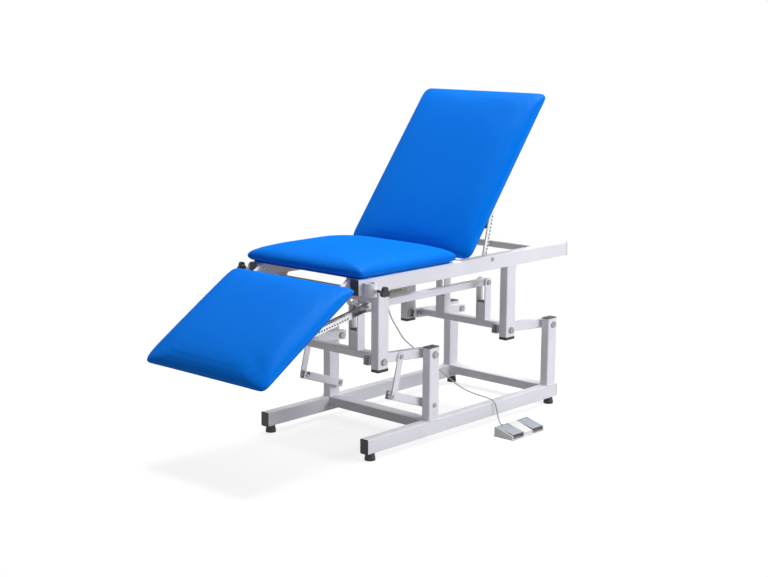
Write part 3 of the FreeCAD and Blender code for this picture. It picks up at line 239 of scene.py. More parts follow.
def grain_group():
    """Pebbled grain of embossed vinyl, cells with soft valleys between them."""
    tree, given, made = shader_group("pebble_grain", (("Scale", 620.0), ("Valley", 0.55)), ("Height", "Crease"))
    place = add_node(tree, "ShaderNodeTexCoord")
    sway = add_node(tree, "ShaderNodeTexNoise")
    sway.inputs["Scale"].default_value = 180.0
    shift = add_node(tree, "ShaderNodeVectorMath", operation="SCALE")
    shift.inputs["Scale"].default_value = 0.0016
    moved = add_node(tree, "ShaderNodeVectorMath", operation="ADD")
    cells = add_node(tree, "ShaderNodeTexVoronoi", feature="DISTANCE_TO_EDGE")
    valley = add_node(tree, "ShaderNodeMapRange", interpolation_type="SMOOTHSTEP")
    fine = add_node(tree, "ShaderNodeTexNoise")
    fine.inputs["Scale"].default_value = 2600.0
    both = add_node(tree, "ShaderNodeMath", operation="MULTIPLY_ADD")
    both.inputs[1].default_value = 0.25
    tree.links.new(place.outputs["Object"], sway.inputs["Vector"])
    tree.links.new(sway.outputs["Color"], shift.inputs[0])
    tree.links.new(place.outputs["Object"], moved.inputs[0])
    tree.links.new(shift.outputs["Vector"], moved.inputs[1])
    tree.links.new(moved.outputs["Vector"], cells.inputs["Vector"])
    tree.links.new(given.outputs["Scale"], cells.inputs["Scale"])
    tree.links.new(cells.outputs["Distance"], valley.inputs["Value"])
    tree.links.new(given.outputs["Valley"], valley.inputs["From Max"])
    tree.links.new(place.outputs["Object"], fine.inputs["Vector"])
    tree.links.new(fine.outputs["Fac"], both.inputs[0])
    tree.links.new(valley.outputs["Result"], both.inputs[2])
    tree.links.new(both.outputs["Value"], made.inputs["Height"])
    # The crease output darkens the colour in the grain's valleys: painted shade.
    tree.links.new(valley.outputs["Result"], made.inputs["Crease"])
    return tree


def streak_group():
    """Drawn streaks along X for plated steel, and along the grain of plywood."""
    sizes = (("Scale", 240.0), ("Stretch", 0.06), ("Low", 0.0), ("High", 1.0))
    tree, given, made = shader_group("streaks", sizes, ("Tone",))
    place = add_node(tree, "ShaderNodeTexCoord")
    squeeze = add_node(tree, "ShaderNodeCombineXYZ")
    squeeze.inputs["Y"].default_value = 1.0
    squeeze.inputs["Z"].default_value = 1.0
    drawn = add_node(tree, "ShaderNodeVectorMath", operation="MULTIPLY")
    cloud = add_node(tree, "ShaderNodeTexNoise")
    cloud.inputs["Detail"].default_value = 5.0
    spread = add_node(tree, "ShaderNodeMapRange")
    spread.inputs["From Min"].default_value = 0.3
    spread.inputs["From Max"].default_value = 0.7
    tree.links.new(given.outputs["Stretch"], squeeze.inputs["X"])
    tree.links.new(place.outputs["Object"], drawn.inputs[0])
    tree.links.new(squeeze.outputs["Vector"], drawn.inputs[1])
    tree.links.new(drawn.outputs["Vector"], cloud.inputs["Vector"])
    tree.links.new(given.outputs["Scale"], cloud.inputs["Scale"])
    tree.links.new(cloud.outputs["Fac"], spread.inputs["Value"])
    tree.links.new(given.outputs["Low"], spread.inputs["To Min"])
    tree.links.new(given.outputs["High"], spread.inputs["To Max"])
    tree.links.new(spread.outputs["Result"], made.inputs["Tone"])
    return tree


MOTTLE = mottle_group()
SKIN = skin_group()
GRAIN = grain_group()
STREAKS = streak_group()


def placed_group(tree, group, **values):
    """Shader group put into a material, with its own values."""
    made = add_node(tree, "ShaderNodeGroup", node_tree=group)
    for label, value in values.items():
        made.inputs[label].default_value = value
    return made


def material_start(name):
    """New material, its tree and its main shader."""
    material = bpy.data.materials.new(name)
    material.use_nodes = True
    return material, material.node_tree, material.node_tree.nodes["Principled BSDF"]


def two_tone(tree, shader, tone, first, second):
    """Base colour between two close tones."""
    blend = add_node(tree, "ShaderNodeMix", data_type="RGBA")
    blend.inputs[6].default_value = (*first, 1)
    blend.inputs[7].default_value = (*second, 1)
    tree.links.new(tone, blend.inputs["Factor"])
    tree.links.new(blend.outputs[2], shader.inputs["Base Color"])
    return blend


def raised(tree, shader, height, strength, distance):
    """Fine relief on a surface."""
    bump = add_node(tree, "ShaderNodeBump")
    bump.inputs["Strength"].default_value = strength
    bump.inputs["Distance"].default_value = distance
    tree.links.new(height, bump.inputs["Height"])
    tree.links.new(bump.outputs["Normal"], shader.inputs["Normal"])


def sprayed(name, first, second, rough, skin_scale=900.0, strength=0.12):
    """Powder coat or moulded plastic: close tones, changing gloss and a fine skin."""
    material, tree, shader = material_start(name)
    tone = placed_group(tree, MOTTLE, Scale=5.0)
    two_tone(tree, shader, tone.outputs["Tone"], first, second)
    gloss = placed_group(tree, MOTTLE, Scale=38.0, Low=rough[0], High=rough[1])
    tree.links.new(gloss.outputs["Tone"], shader.inputs["Roughness"])
    skin = placed_group(tree, SKIN, Scale=skin_scale, Swell=skin_scale / 12)
    raised(tree, shader, skin.outputs["Height"], strength, 0.0004)
    return material


def vinyl(name, first, second):
    """Embossed cover: valleys of the grain darkened as painted shade, duller where it is seen at a slant."""
    material, tree, shader = material_start(name)
    tone = placed_group(tree, MOTTLE, Scale=3.5)
    grain = placed_group(tree, GRAIN)
    body = two_tone(tree, shader, tone.outputs["Tone"], first, second)
    # Darker copy of the blue in the grain's valleys: painted shade in its hollows.
    valley = add_node(tree, "ShaderNodeMix", data_type="RGBA")
    valley.inputs[6].default_value = (*(0.72 * c for c in first), 1)
    tree.links.new(grain.outputs["Crease"], valley.inputs["Factor"])
    tree.links.new(body.outputs[2], valley.inputs[7])
    tree.links.new(valley.outputs[2], shader.inputs["Base Color"])
    gloss = placed_group(tree, MOTTLE, Scale=9.0, Low=0.26, High=0.33)
    slant = add_node(tree, "ShaderNodeLayerWeight")
    slant.inputs["Blend"].default_value = 0.35
    dull = add_node(tree, "ShaderNodeMath", operation="MULTIPLY_ADD", use_clamp=True)
    dull.inputs[1].default_value = 0.95
    tree.links.new(slant.outputs["Facing"], dull.inputs[0])
    tree.links.new(gloss.outputs["Tone"], dull.inputs[2])
    tree.links.new(dull.outputs["Value"], shader.inputs["Roughness"])
    shader.inputs["Specular IOR Level"].default_value = 0.14
    shader.inputs["Specular Tint"].default_value = (0.15, 0.85, 1.0, 1)
    raised(tree, shader, grain.outputs["Height"], 0.16, 0.0003)
    return material


def plated(name, first, second, rough):
    """Plated steel with faint drawn streaks."""
    material, tree, shader = material_start(name)
    shader.inputs["Metallic"].default_value = 1.0
    tone = placed_group(tree, STREAKS, Scale=240.0, Stretch=0.2)
    two_tone(tree, shader, tone.outputs["Tone"], first, second)
    gloss = placed_group(tree, MOTTLE, Scale=120.0, Low=rough[0], High=rough[1])
    tree.links.new(gloss.outputs["Tone"], shader.inputs["Roughness"])
    skin = placed_group(tree, SKIN, Scale=1500.0, Swell=300.0)
    raised(tree, shader, skin.outputs["Height"], 0.08, 0.0002)
    return material


def plywood(name):
    """Face veneer with long grain."""
    material, tree, shader = material_start(name)
    grain = placed_group(tree, STREAKS, Scale=70.0, Stretch=0.05)
    two_tone(tree, shader, grain.outputs["Tone"], (0.46, 0.31, 0.17), (0.66, 0.49, 0.30))
    shader.inputs["Roughness"].default_value = 0.72
    raised(tree, shader, grain.outputs["Tone"], 0.2, 0.0004)
    return material


PAINT = sprayed("white_powder_coat", (0.79, 0.775, 0.815), (0.84, 0.825, 0.86), (0.30, 0.42))
VINYL = vinyl("blue_vinyl", (0.0, 0.205, 0.93), (0.0, 0.23, 0.97))
BLACK = sprayed("black_moulded_plastic", (0.010, 0.010, 0.011), (0.018, 0.018, 0.020), (0.38, 0.52), 1400.0,
                0.22)
ZINC = plated("zinc_plated_steel", (0.30, 0.30, 0.31), (0.46, 0.46, 0.47), (0.24, 0.40))
BRIGHT_ZINC = plated("bright_zinc_steel", (0.70, 0.70, 0.71), (0.84, 0.84, 0.85), (0.30, 0.44))
# Dark steel of the back ratchet channels; the same dark on the ratchet slots' plates is painted shade.
DARK_STEEL_AND_SLOT_SHADE = sprayed("blackened_steel", (0.030, 0.032, 0.040), (0.050, 0.052, 0.060), (0.40, 0.55), 1100.0,
                     0.2)
TREAD = sprayed("grey_pedal_plastic", (0.31, 0.335, 0.37), (0.37, 0.395, 0.43), (0.40, 0.52), 1200.0, 0.2)
GREY = sprayed("grey_box_plastic", (0.30, 0.31, 0.33), (0.36, 0.37, 0.39), (0.40, 0.55), 1300.0, 0.2)
BEIGE = sprayed("beige_housing_plastic", (0.52, 0.49, 0.42), (0.58, 0.55, 0.48), (0.36, 0.5), 1200.0, 0.16)
PEDAL = sprayed("dark_pedal_plastic", (0.050, 0.053, 0.060), (0.066, 0.070, 0.078), (0.42, 0.55), 1200.0, 0.2)
PALE = sprayed("pale_switch_plastic", (0.70, 0.68, 0.665), (0.77, 0.755, 0.74), (0.38, 0.52), 1200.0, 0.16)
SHEATH = sprayed("grey_cable_sheath", (0.33, 0.33, 0.335), (0.39, 0.39, 0.395), (0.45, 0.6), 900.0, 0.1)
PLY = plywood("birch_plywood")
FINISH_BY_SLOT = {
    "white_paint": PAINT, "blue_vinyl": VINYL, "black_plastic": BLACK, "zinc_steel": ZINC, "grey_plastic": GREY,
    "beige_plastic": BEIGE, "light_plastic": PALE, "plywood": PLY, "cable_sheath": SHEATH}
FINISH_BY_NODE = {
    "foot_pedal_down": PEDAL, "foot_pedal_up": PEDAL, "back_ratchet_bars": BRIGHT_ZINC,
    "leg_ratchet_bars": BRIGHT_ZINC, "back_ratchet_channels": DARK_STEEL_AND_SLOT_SHADE, "leg_ratchet_channels": ZINC}


def dress_nodes():
    """Finish of every piece that comes from the frame."""
    for part in frame["record"]["subparts"]:
        name = part["node"]
        mesh = nodes[name].data
        mesh.materials.clear()
        mesh.materials.append(FINISH_BY_NODE.get(name, FINISH_BY_SLOT[part["material_slot"]]))


def mesh_piece(name, mesh, material, body):
    """Finished mesh as a piece that rides on a body."""
    piece = bpy.data.objects.new(name, mesh)
    scene.collection.objects.link(piece)
    mesh.materials.clear()
    mesh.materials.append(material)
    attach(piece, body)
    return piece


def settled_mesh(piece):
    """Plain mesh of an object with its modifiers applied."""
    graph = bpy.context.evaluated_depsgraph_get()
    shown = piece.evaluated_get(graph)
    return bpy.data.meshes.new_from_object(shown, preserve_all_data_layers=True, depsgraph=graph)


def shaped_mesh(name, shape):
    """Plain mesh of a closed shape, with its faces outwards."""
    bmesh.ops.recalc_face_normals(shape, faces=shape.faces)
    mesh = bpy.data.meshes.new(name)
    shape.to_mesh(mesh)
    shape.free()
    return mesh


def smooth(mesh, degrees):
    """Smooth shading, with edges sharper than an angle kept crisp."""
    mesh.shade_smooth()
    mesh.set_sharp_from_angle(angle=math.radians(degrees))
    return mesh


def node_solids(name):
    """Lowest and highest corner of each separate solid in a CAD node."""
    shape = bmesh.new()
    shape.from_mesh(nodes[name].data)
    bmesh.ops.remove_doubles(shape, verts=shape.verts, dist=1e-5)
    left = set(shape.verts)
    boxes = []
    while left:
        reached = [left.pop()]
        low = reached[0].co.copy()
        high = reached[0].co.copy()
        while reached:
            vertex = reached.pop()
            low = Vector(map(min, low, vertex.co))
            high = Vector(map(max, high, vertex.co))
            for edge in vertex.link_edges:
                other = edge.other_vert(vertex)
                if other in left:
                    left.remove(other)
                    reached.append(other)
        boxes.append((low, high))
    shape.free()
    return sorted(boxes, key=lambda box: tuple(round(c, 4) for c in box[0]))


def photo_camera():
    """Camera solved from the photograph: heading, downward tilt and roll."""
    azimuth, elevation, roll = (math.radians(turn) for turn in CAMERA_TURN)
    ahead = Vector((math.sin(azimuth) * math.cos(elevation), math.cos(azimuth) * math.cos(elevation),
                    -math.sin(elevation)))
    right = Vector((math.cos(azimuth), -math.sin(azimuth), 0))
    upward = right.cross(ahead)
    across = right * math.cos(roll) + upward * math.sin(roll)
    upright = upward * math.cos(roll) - right * math.sin(roll)
    data = bpy.data.cameras.new("photo_camera")
    data.sensor_fit = "HORIZONTAL"
    data.sensor_width = 36.0
    data.lens = CAMERA_LENS
    data.clip_end = 80.0
    camera = bpy.data.objects.new("photo_camera", data)
    scene.collection.objects.link(camera)
    turn = Matrix((across, upright, -ahead)).transposed().to_4x4()
    camera.matrix_world = Matrix.Translation(CAMERA_PLACE) @ turn
    scene.camera = camera


def cable_curve(name, route):
    """Smooth cable through its route points."""
    data = bpy.data.curves.new(name, "CURVE")
    data.dimensions = "3D"
    data.bevel_depth = CABLE_RADIUS
    data.bevel_resolution = 3
    data.resolution_u = 8
    data.use_fill_caps = True
    spline = data.splines.new("NURBS")
    spline.points.add(len(route) - 1)
    for spot, place in zip(spline.points, route):
        spot.co = (*place, 1)
    spline.order_u = 3
    spline.use_endpoint_u = True
    data.materials.append(SHEATH)
    piece = bpy.data.objects.new(name, data)
    scene.collection.objects.link(piece)
    return piece


def centre_line(curve):
    """Points along a cable's middle, and their whole length."""
    bare = curve.copy()
    bare.data = curve.data.copy()
    bare.data.bevel_depth = 0
    scene.collection.objects.link(bare)
    line = [vertex.co.copy() for vertex in settled_mesh(bare).vertices]
    bpy.data.objects.remove(bare)
    return line, sum((b - a).length for a, b in zip(line, line[1:]))


def switch_cable():
    """Cable in two stretches, held at the near front pivot where the arm turns in place."""
    route = [Vector((x - ROUTE_ORIGIN[0], y - ROUTE_ORIGIN[1], z)) for x, y, z in CABLE_ROUTE]
    pivot = (route[CABLE_HELD - 1] + route[CABLE_HELD]) / 2
    curve = cable_curve("switch_cable_bend", route[:CABLE_HELD] + [pivot])
    line, length = centre_line(curve)
    upper = bpy.data.objects.new("switch_cable_upper", smooth(settled_mesh(curve), CRISP_DEG))
    scene.collection.objects.link(upper)
    bpy.data.objects.remove(curve)
    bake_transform(upper)
    lower = cable_curve("switch_cable_lower", [pivot] + route[CABLE_HELD:])
    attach(lower, "base")
    centre_line(lower)[1]
    for stretch in (upper, lower):
        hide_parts("foot_switch_cable")


def pad_ring(size, corners, inset, height, growth=UNDER_GROWTH):
    """Points of a rounded rectangle drawn in by the inset; the corners grow rounder inwards."""
    half_x = size[0] / 2 - inset
    half_y = size[1] - inset
    ring = []
    for quarter in range(4):
        sign_x = 1 if quarter in (0, 3) else -1
        sign_y = 1 if quarter in (0, 1) else -1
        radius = min(corners[(1 + sign_x) // 2] + growth * inset, 0.9 * half_x, 0.9 * half_y)
        centre = Vector((sign_x * (half_x - radius), sign_y * (half_y - radius), height))
        for step in range(ARC_STEPS + 1):
            turn = math.pi / 2 * (quarter + step / ARC_STEPS)
            ring.append(centre + Vector((math.cos(turn), math.sin(turn), 0)) * radius)
    return ring


def pad_shell(name, size, corners, form):
    """Closed pad, level, with its underside at zero and its middle over the origin."""
    shape = bmesh.new()
    rings = []
    growth = UNDER_GROWTH
    for inset, height in form:
        ring = pad_ring(size, corners, inset / 1000, height / 1000, growth)
        rings.append([shape.verts.new(place) for place in ring])
        growth = CORNER_GROWTH if inset == 0 else growth
    count = len(rings[0])
    for low, high in zip(rings, rings[1:]):
        for k in range(count):
            shape.faces.new((low[k], low[(k + 1) % count], high[(k + 1) % count], high[k]))
    shape.faces.new(rings[0][::-1])
    shape.faces.new(rings[-1])
    return shaped_mesh(name, shape)


def eased_swell(blown, start):
    """How far each point of a cover has moved, held under a cap and evened out between neighbours."""
    swell = np.array([vertex.co - before for vertex, before in zip(blown.vertices, start)])
    swell *= np.minimum(1, SWELL_CAP / np.maximum(np.linalg.norm(swell, axis=1), 1e-9))[:, None]
    ends = np.array([edge.vertices[:] for edge in blown.edges])
    ends = np.concatenate((ends, ends[:, ::-1]))
    shared = np.bincount(ends[:, 0], minlength=len(swell))[:, None]
    for _ in range(SWELL_EASE):
        around = np.zeros_like(swell)
        np.add.at(around, ends[:, 0], swell[ends[:, 1]])
        swell = 0.5 * (swell + around / shared)
    return swell


def blow_up(piece):
    """Moves a pad's points as a cover under pressure moves them, held at its lower edge."""
    start = [vertex.co.copy() for vertex in piece.data.vertices]
    held = piece.vertex_groups.new(name="held")
    held.add([v.index for v in piece.data.vertices if v.co.z < HELD_HEIGHT], 1.0, "REPLACE")
    cover = piece.modifiers.new("cover", "CLOTH")
    cloth = cover.settings
    cloth.quality = 5
    cloth.mass = 0.25
    cloth.tension_stiffness = 40.0
    cloth.compression_stiffness = 40.0
    cloth.shear_stiffness = 20.0
    cloth.bending_stiffness = 4.0
    cloth.use_pressure = True
    cloth.uniform_pressure_force = 4.0
    cloth.effector_weights.gravity = 0.0
    cloth.vertex_group_mass = "held"
    cover.point_cache.frame_start = 1
    cover.point_cache.frame_end = SWELL_STEPS
    for step in range(1, SWELL_STEPS + 1):
        scene.frame_set(step)
    blown = settled_mesh(piece)
    piece.modifiers.clear()
    for vertex, before, moved in zip(piece.data.vertices, start, eased_swell(blown, start)):
        vertex.co = before + Vector(moved)
    scene.frame_set(1)


def swollen(mesh, name, voxel):
    """Cover pulled tight over foam: even faces, then blown up a little and made finer."""
    piece = bpy.data.objects.new(name + "_form", mesh)
    scene.collection.objects.link(piece)
    remesh = piece.modifiers.new("even_faces", "REMESH")
    remesh.mode = "VOXEL"
    remesh.voxel_size = voxel
    ease = piece.modifiers.new("ease", "SMOOTH")
    ease.factor = 0.5
    ease.iterations = 4
    piece.data = settled_mesh(piece)
    piece.modifiers.clear()
    blow_up(piece)
    finer = piece.modifiers.new("finer", "SUBSURF")
    finer.levels = 1
    finer.render_levels = 1
    result = settled_mesh(piece)
    bpy.data.objects.remove(piece)
    return result


def pleated_corners(mesh, size, corners):
    """Small gathers where the cover is folded round each lower corner."""
    for vertex in mesh.vertices:
        place = vertex.co
        radius = corners[1 if place.x > 0 else 0] + GATHER_SPREAD
        corner = Vector((math.copysign(size[0] / 2 - radius, place.x),
                         math.copysign(size[1] - radius, place.y), 0))
        out = Vector((place.x - corner.x, place.y - corner.y, 0))
        if out.x * corner.x <= 0 or out.y * corner.y <= 0 or place.z > GATHER_HEIGHT:
            continue
        turn = math.atan2(abs(out.y), abs(out.x))
        fade = (1 - place.z / GATHER_HEIGHT) * math.sin(2 * turn) ** 2
        vertex.co += out.normalized() * (GATHER_DEPTH * fade * math.sin(turn * GATHERS))


def hem_strip(size, corners):
    """Cover's edge turned under the board, with an uneven cut edge."""
    shape = bmesh.new()
    layers = []
    for height in (HEM_TOP, -HEM_DEPTH):
        outer_ring = [shape.verts.new(p) for p in pad_ring(size, corners, HEM_OUTER, height)]
        inner_ring = []
        for k, place in enumerate(pad_ring(size, corners, HEM_INNER, height)):
            sway = sum(depth * math.sin(k * rate + shift) for depth, rate, shift in HEM_WAVES)
            inner_ring.append(shape.verts.new(place * (1 + sway / HEM_SPREAD)))
            inner_ring[-1].co.z = height
        layers.append((outer_ring, inner_ring))
    count = len(layers[0][0])
    for k in range(count):
        n = (k + 1) % count
        (top_out, top_in), (low_out, low_in) = layers
        shape.faces.new((top_out[k], top_out[n], top_in[n], top_in[k]))
        shape.faces.new((low_out[k], low_in[k], low_in[n], low_out[n]))
        shape.faces.new((top_out[k], low_out[k], low_out[n], top_out[n]))
        shape.faces.new((top_in[k], top_in[n], low_in[n], low_in[k]))
    bmesh.ops.recalc_face_normals(shape, faces=shape.faces)
    return shape


def cushion(name, body, size, corners, form, voxel, place, replaced):
    """Covered pad with its hem, put over its board."""
    mesh = swollen(pad_shell(name, size, corners, form), name, voxel)
    pleated_corners(mesh, size, corners)
    shape = hem_strip(size, corners)
    shape.from_mesh(mesh)
    shape.to_mesh(mesh)
    shape.free()
    mesh.transform(place)
    piece = mesh_piece(name, smooth(mesh, PAD_CRISP_DEG), VINYL, body)
    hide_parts(replaced)


def section_places():
    """Where each level pad goes: over the middle of its board, turned to its rest angle."""
    seat_low, seat_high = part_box("seat_board")
    middle_y = (seat_low.y + seat_high.y) / 2
    plane = seat_low.z
    seat = Matrix.Translation(((seat_low.x + seat_high.x) / 2, middle_y, plane))
    places = {"seat": seat}
    for name, hinge_name, start, length, ahead, degrees in (
            ("back", "back_tilt", BACK_START, BACK_LENGTH, 1, -BACK_REST_DEG),
            ("leg", "leg_tilt", LEG_START, LEG_LENGTH, -1, -LEG_REST_DEG)):
        hinge = Vector(joints[hinge_name]["pos_m"])
        middle = Matrix.Translation((ahead * (start + length / 2), 0, plane - hinge.z))
        turned = Matrix.Rotation(math.radians(degrees), 4, "Y")
        places[name] = Matrix.Translation((hinge.x, middle_y, hinge.z)) @ turned @ middle
    return places


def tree_start(name, sizes):
    """Empty geometry tree with named sizes, its input and its output."""
    tree = bpy.data.node_groups.new(name, "GeometryNodeTree")
    tree.interface.new_socket("Places", in_out="INPUT", socket_type="NodeSocketGeometry")
    for label, value in sizes:
        tree.interface.new_socket(label, in_out="INPUT", socket_type="NodeSocketFloat").default_value = value
    tree.interface.new_socket("Finish", in_out="INPUT", socket_type="NodeSocketMaterial")
    tree.interface.new_socket("Pieces", in_out="OUTPUT", socket_type="NodeSocketGeometry")
    return tree, tree.nodes.new("NodeGroupInput"), tree.nodes.new("NodeGroupOutput")


def spots_along(tree, given):
    """Points along edges, at the tree's own pitch."""
    line = tree.nodes.new("GeometryNodeMeshToCurve")
    spots = add_node(tree, "GeometryNodeCurveToPoints", mode="LENGTH")
    tree.links.new(given.outputs["Places"], line.inputs["Mesh"])
    tree.links.new(line.outputs["Curve"], spots.inputs["Curve"])
    tree.links.new(given.outputs["Pitch"], spots.inputs["Length"])
    return spots


def laid_out(tree, given, made, spots, shape):
    """Shape at every point, made real and given its finish."""
    laid = tree.nodes.new("GeometryNodeInstanceOnPoints")
    real = tree.nodes.new("GeometryNodeRealizeInstances")
    finish = tree.nodes.new("GeometryNodeSetMaterial")
    tree.links.new(spots.outputs["Points"], laid.inputs["Points"])
    tree.links.new(shape, laid.inputs["Instance"])
    tree.links.new(laid.outputs["Instances"], real.inputs["Geometry"])
    tree.links.new(real.outputs["Geometry"], finish.inputs["Geometry"])
    tree.links.new(given.outputs["Finish"], finish.inputs["Material"])
    tree.links.new(finish.outputs["Geometry"], made.inputs["Pieces"])
    return laid


def bead_tree():
    """Row of overlapping beads along edges, for a weld laid in steps."""
    tree, given, made = tree_start("weld_bead_row", (("Pitch", BEAD_PITCH), ("Radius", BEAD_RADIUS)))
    spots = spots_along(tree, given)
    bead = tree.nodes.new("GeometryNodeMeshIcoSphere")
    bead.inputs["Subdivisions"].default_value = 2
    soft = tree.nodes.new("GeometryNodeSetShadeSmooth")
    laid = laid_out(tree, given, made, spots, soft.outputs["Geometry"])
    uneven = add_node(tree, "FunctionNodeRandomValue", data_type="FLOAT")
    uneven.inputs[2].default_value, uneven.inputs[3].default_value = BEAD_SPREAD
    uneven.inputs["Seed"].default_value = 7
    tree.links.new(given.outputs["Radius"], bead.inputs["Radius"])
    tree.links.new(bead.outputs["Mesh"], soft.inputs["Geometry"])
    tree.links.new(spots.outputs["Rotation"], laid.inputs["Rotation"])
    tree.links.new(uneven.outputs[1], laid.inputs["Scale"])
    return tree


def plate_tree():
    """Small plates in a row along edges, flat to a given face: staples, and dark plates that paint the shade of
    punched slots.
    """
    sizes = (("Pitch", STAPLE_PITCH), ("Along", STAPLE_LENGTH), ("Thick", STAPLE_THICKNESS),
             ("Across", STAPLE_WIDTH))
    tree, given, made = tree_start("plate_row", sizes)
    tree.interface.new_socket("Face", in_out="INPUT", socket_type="NodeSocketVector").default_value = (0, 1, 0)
    spots = spots_along(tree, given)
    facing = add_node(tree, "FunctionNodeAxesToRotation", primary_axis="X", secondary_axis="Y")
    size = tree.nodes.new("ShaderNodeCombineXYZ")
    plate = tree.nodes.new("GeometryNodeMeshCube")
    laid = laid_out(tree, given, made, spots, plate.outputs["Mesh"])
    for label, axis in (("Along", "X"), ("Thick", "Y"), ("Across", "Z")):
        tree.links.new(given.outputs[label], size.inputs[axis])
    tree.links.new(size.outputs["Vector"], plate.inputs["Size"])
    tree.links.new(spots.outputs["Tangent"], facing.inputs["Primary Axis"])
    tree.links.new(given.outputs["Face"], facing.inputs["Secondary Axis"])
    tree.links.new(facing.outputs["Rotation"], laid.inputs["Rotation"])
    return tree


def washer_tree():
    """Flat washers with their axis along Y, one at each point."""
    sizes = (("Radius", WASHER_RADIUS), ("Width", WASHER_WIDTH), ("Thickness", WASHER_THICKNESS))
    tree, given, made = tree_start("washer_set", sizes)
    spots = tree.nodes.new("GeometryNodeMeshToPoints")
    round_line = add_node(tree, "GeometryNodeCurvePrimitiveCircle", mode="RADIUS")
    round_line.inputs["Resolution"].default_value = 36
    section = add_node(tree, "GeometryNodeCurvePrimitiveQuadrilateral", mode="RECTANGLE")
    swept = tree.nodes.new("GeometryNodeCurveToMesh")
    laid = laid_out(tree, given, made, spots, swept.outputs["Mesh"])
    laid.inputs["Rotation"].default_value = (math.pi / 2, 0, 0)
    tree.links.new(given.outputs["Places"], spots.inputs["Mesh"])
    tree.links.new(given.outputs["Radius"], round_line.inputs["Radius"])
    tree.links.new(given.outputs["Width"], section.inputs["Width"])
    tree.links.new(given.outputs["Thickness"], section.inputs["Height"])
    tree.links.new(round_line.outputs["Curve"], swept.inputs["Curve"])
    tree.links.new(section.outputs["Curve"], swept.inputs["Profile Curve"])
    return tree


BEADS = bead_tree()
PLATES = plate_tree()
WASHERS = washer_tree()


def grown(name, tree, loops, material, body, slot, closed=True, **sizes):
    """Piece grown by a node tree from lines or, where a loop has one point, from places."""
    shape = bmesh.new()
    for loop in loops:
        made = [shape.verts.new(place) for place in loop]
        for a, b in zip(made, made[1:] + made[:1] if closed else made[1:]):
            if len(made) > 1:
                shape.edges.new((a, b))
    mesh = bpy.data.meshes.new(name + "_lines")
    shape.to_mesh(mesh)
    shape.free()
    seed = bpy.data.objects.new(name + "_lines", mesh)
    scene.collection.objects.link(seed)
    maker = seed.modifiers.new("maker", "NODES")
    maker.node_group = tree
    for item in tree.interface.items_tree:
        if item.in_out == "INPUT" and item.name in sizes:
            maker[item.identifier] = sizes[item.name]
        if item.in_out == "INPUT" and item.name == "Finish":
            maker[item.identifier] = material
    result = settled_mesh(seed)
    bpy.data.objects.remove(seed)
    result.name = name
    return mesh_piece(name, result, material, body)


def box_loop(low, high, axis, place):
    """Rectangle round a box where it is cut by a plane."""
    first, second = [k for k in range(3) if k != axis]
    loop = []
    for a, b in ((low, low), (high, low), (high, high), (low, high)):
        spot = Vector((0, 0, 0))
        spot[axis] = place
        spot[first] = a[first]
        spot[second] = b[second]
        loop.append(spot)
    return loop


def weld_lines(node_names, axis, ends=(0, 1), depth=None):
    """Loops round the ends of each solid along an axis; a depth is that of a bar flush with the top."""
    loops = []
    for name in node_names:
        for low, high in node_solids(name):
            if depth:
                low.z = high.z - depth
                high.z -= FLUSH_WELD
            for end in ends:
                loops.append(box_loop(low, high, axis, (low, high)[end][axis]))
    return loops


def welds():
    """Beads where the tubes of each body meet."""
    base = weld_lines(("base_front_crossbar", "base_rear_crossbar"), 1)
    base += weld_lines(("front_posts", "rear_posts"), 2, (0,))
    crossbars = ("top_front_crossbar", "top_middle_crossbar", "top_rear_crossbar")
    top = weld_lines(crossbars, 1, depth=CROSS_DEPTH) + weld_lines(("front_legs", "rear_legs"), 2, (1,))
    grown("base_welds", BEADS, base, PAINT, "base", "white_paint")
    grown("top_frame_welds", BEADS, top, PAINT, "top_frame", "white_paint")
    for side, levers in (("front", ("front_lever",)), ("rear", ("rear_lever", "actuator_lever"))):
        loops = weld_lines((side + "_torsion_tube",), 1) + weld_lines(levers, 2, (0,))
        grown(side + "_arm_welds", BEADS, loops, PAINT, side + "_swing_arms", "white_paint", Radius=ARM_BEAD)


def washers():
    """Washers under the heads of the pivot bolts, on the outside of the frame."""
    low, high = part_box("seat_board")
    middle_y = (low.y + high.y) / 2
    for name, node, body in (("post_washers", "post_pivot_bolts", "base"),
                             ("leg_washers", "top_frame_bolts", "top_frame")):
        spots = []
        for low, high in node_solids(node):
            if high.x - low.x < BOLT_SIZE:
                continue
            side = math.copysign(1, (low.y + high.y) / 2 - middle_y)
            face = high.y - BOLT_HEAD if side > 0 else low.y + BOLT_HEAD
            middle = (low + high) / 2
            spots.append([Vector((middle.x, face + side * WASHER_THICKNESS / 2, middle.z))])
        grown(name, WASHERS, spots, ZINC, body, "zinc_steel", closed=False)


def staples(places):
    """Staples through each cover's hem into its board."""
    for name, body, size, corners, _, _ in SECTIONS:
        ring = [places[name] @ place for place in pad_ring(size, corners, STAPLE_INSET, -STAPLE_DEPTH)]
        face = places[name].to_3x3() @ Vector((0, 0, 1))
        grown(name + "_staples", PLATES, [ring], ZINC, body, "zinc_steel", Face=face)


def ratchet_slots():
    """Punched slots along the outer faces of each pair of toothed bars, drawn as thin dark plates whose darkness
    is painted shade for the holes.
    """
    for name, length, drop in RATCHET_BARS:
        start = Vector(joints[name + "_bar_swing"]["pos_m"])
        along = Vector(joints[name + "_channel_swing"]["pos_m"]) - start
        along.y = 0
        along.normalize()
        across = Vector((along.z, 0, -along.x))
        low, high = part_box(name + "_ratchet_bars")
        lines = []
        for face in (low.y, high.y):
            first = Vector((start.x, face, start.z)) + across * drop + along * SLOT_END
            lines.append([first, first + along * (length - 2 * SLOT_END)])
        # Each slot is a thin dark plate on the bar's face: painted shade standing in for the hole.
        grown(name + "_ratchet_slots", PLATES, lines, DARK_STEEL_AND_SLOT_SHADE, name + "_toothed_bars", "black_plastic",
              closed=False, Pitch=SLOT_PITCH, Along=SLOT_LENGTH, Thick=SLOT_RISE, Across=SLOT_WIDTH)


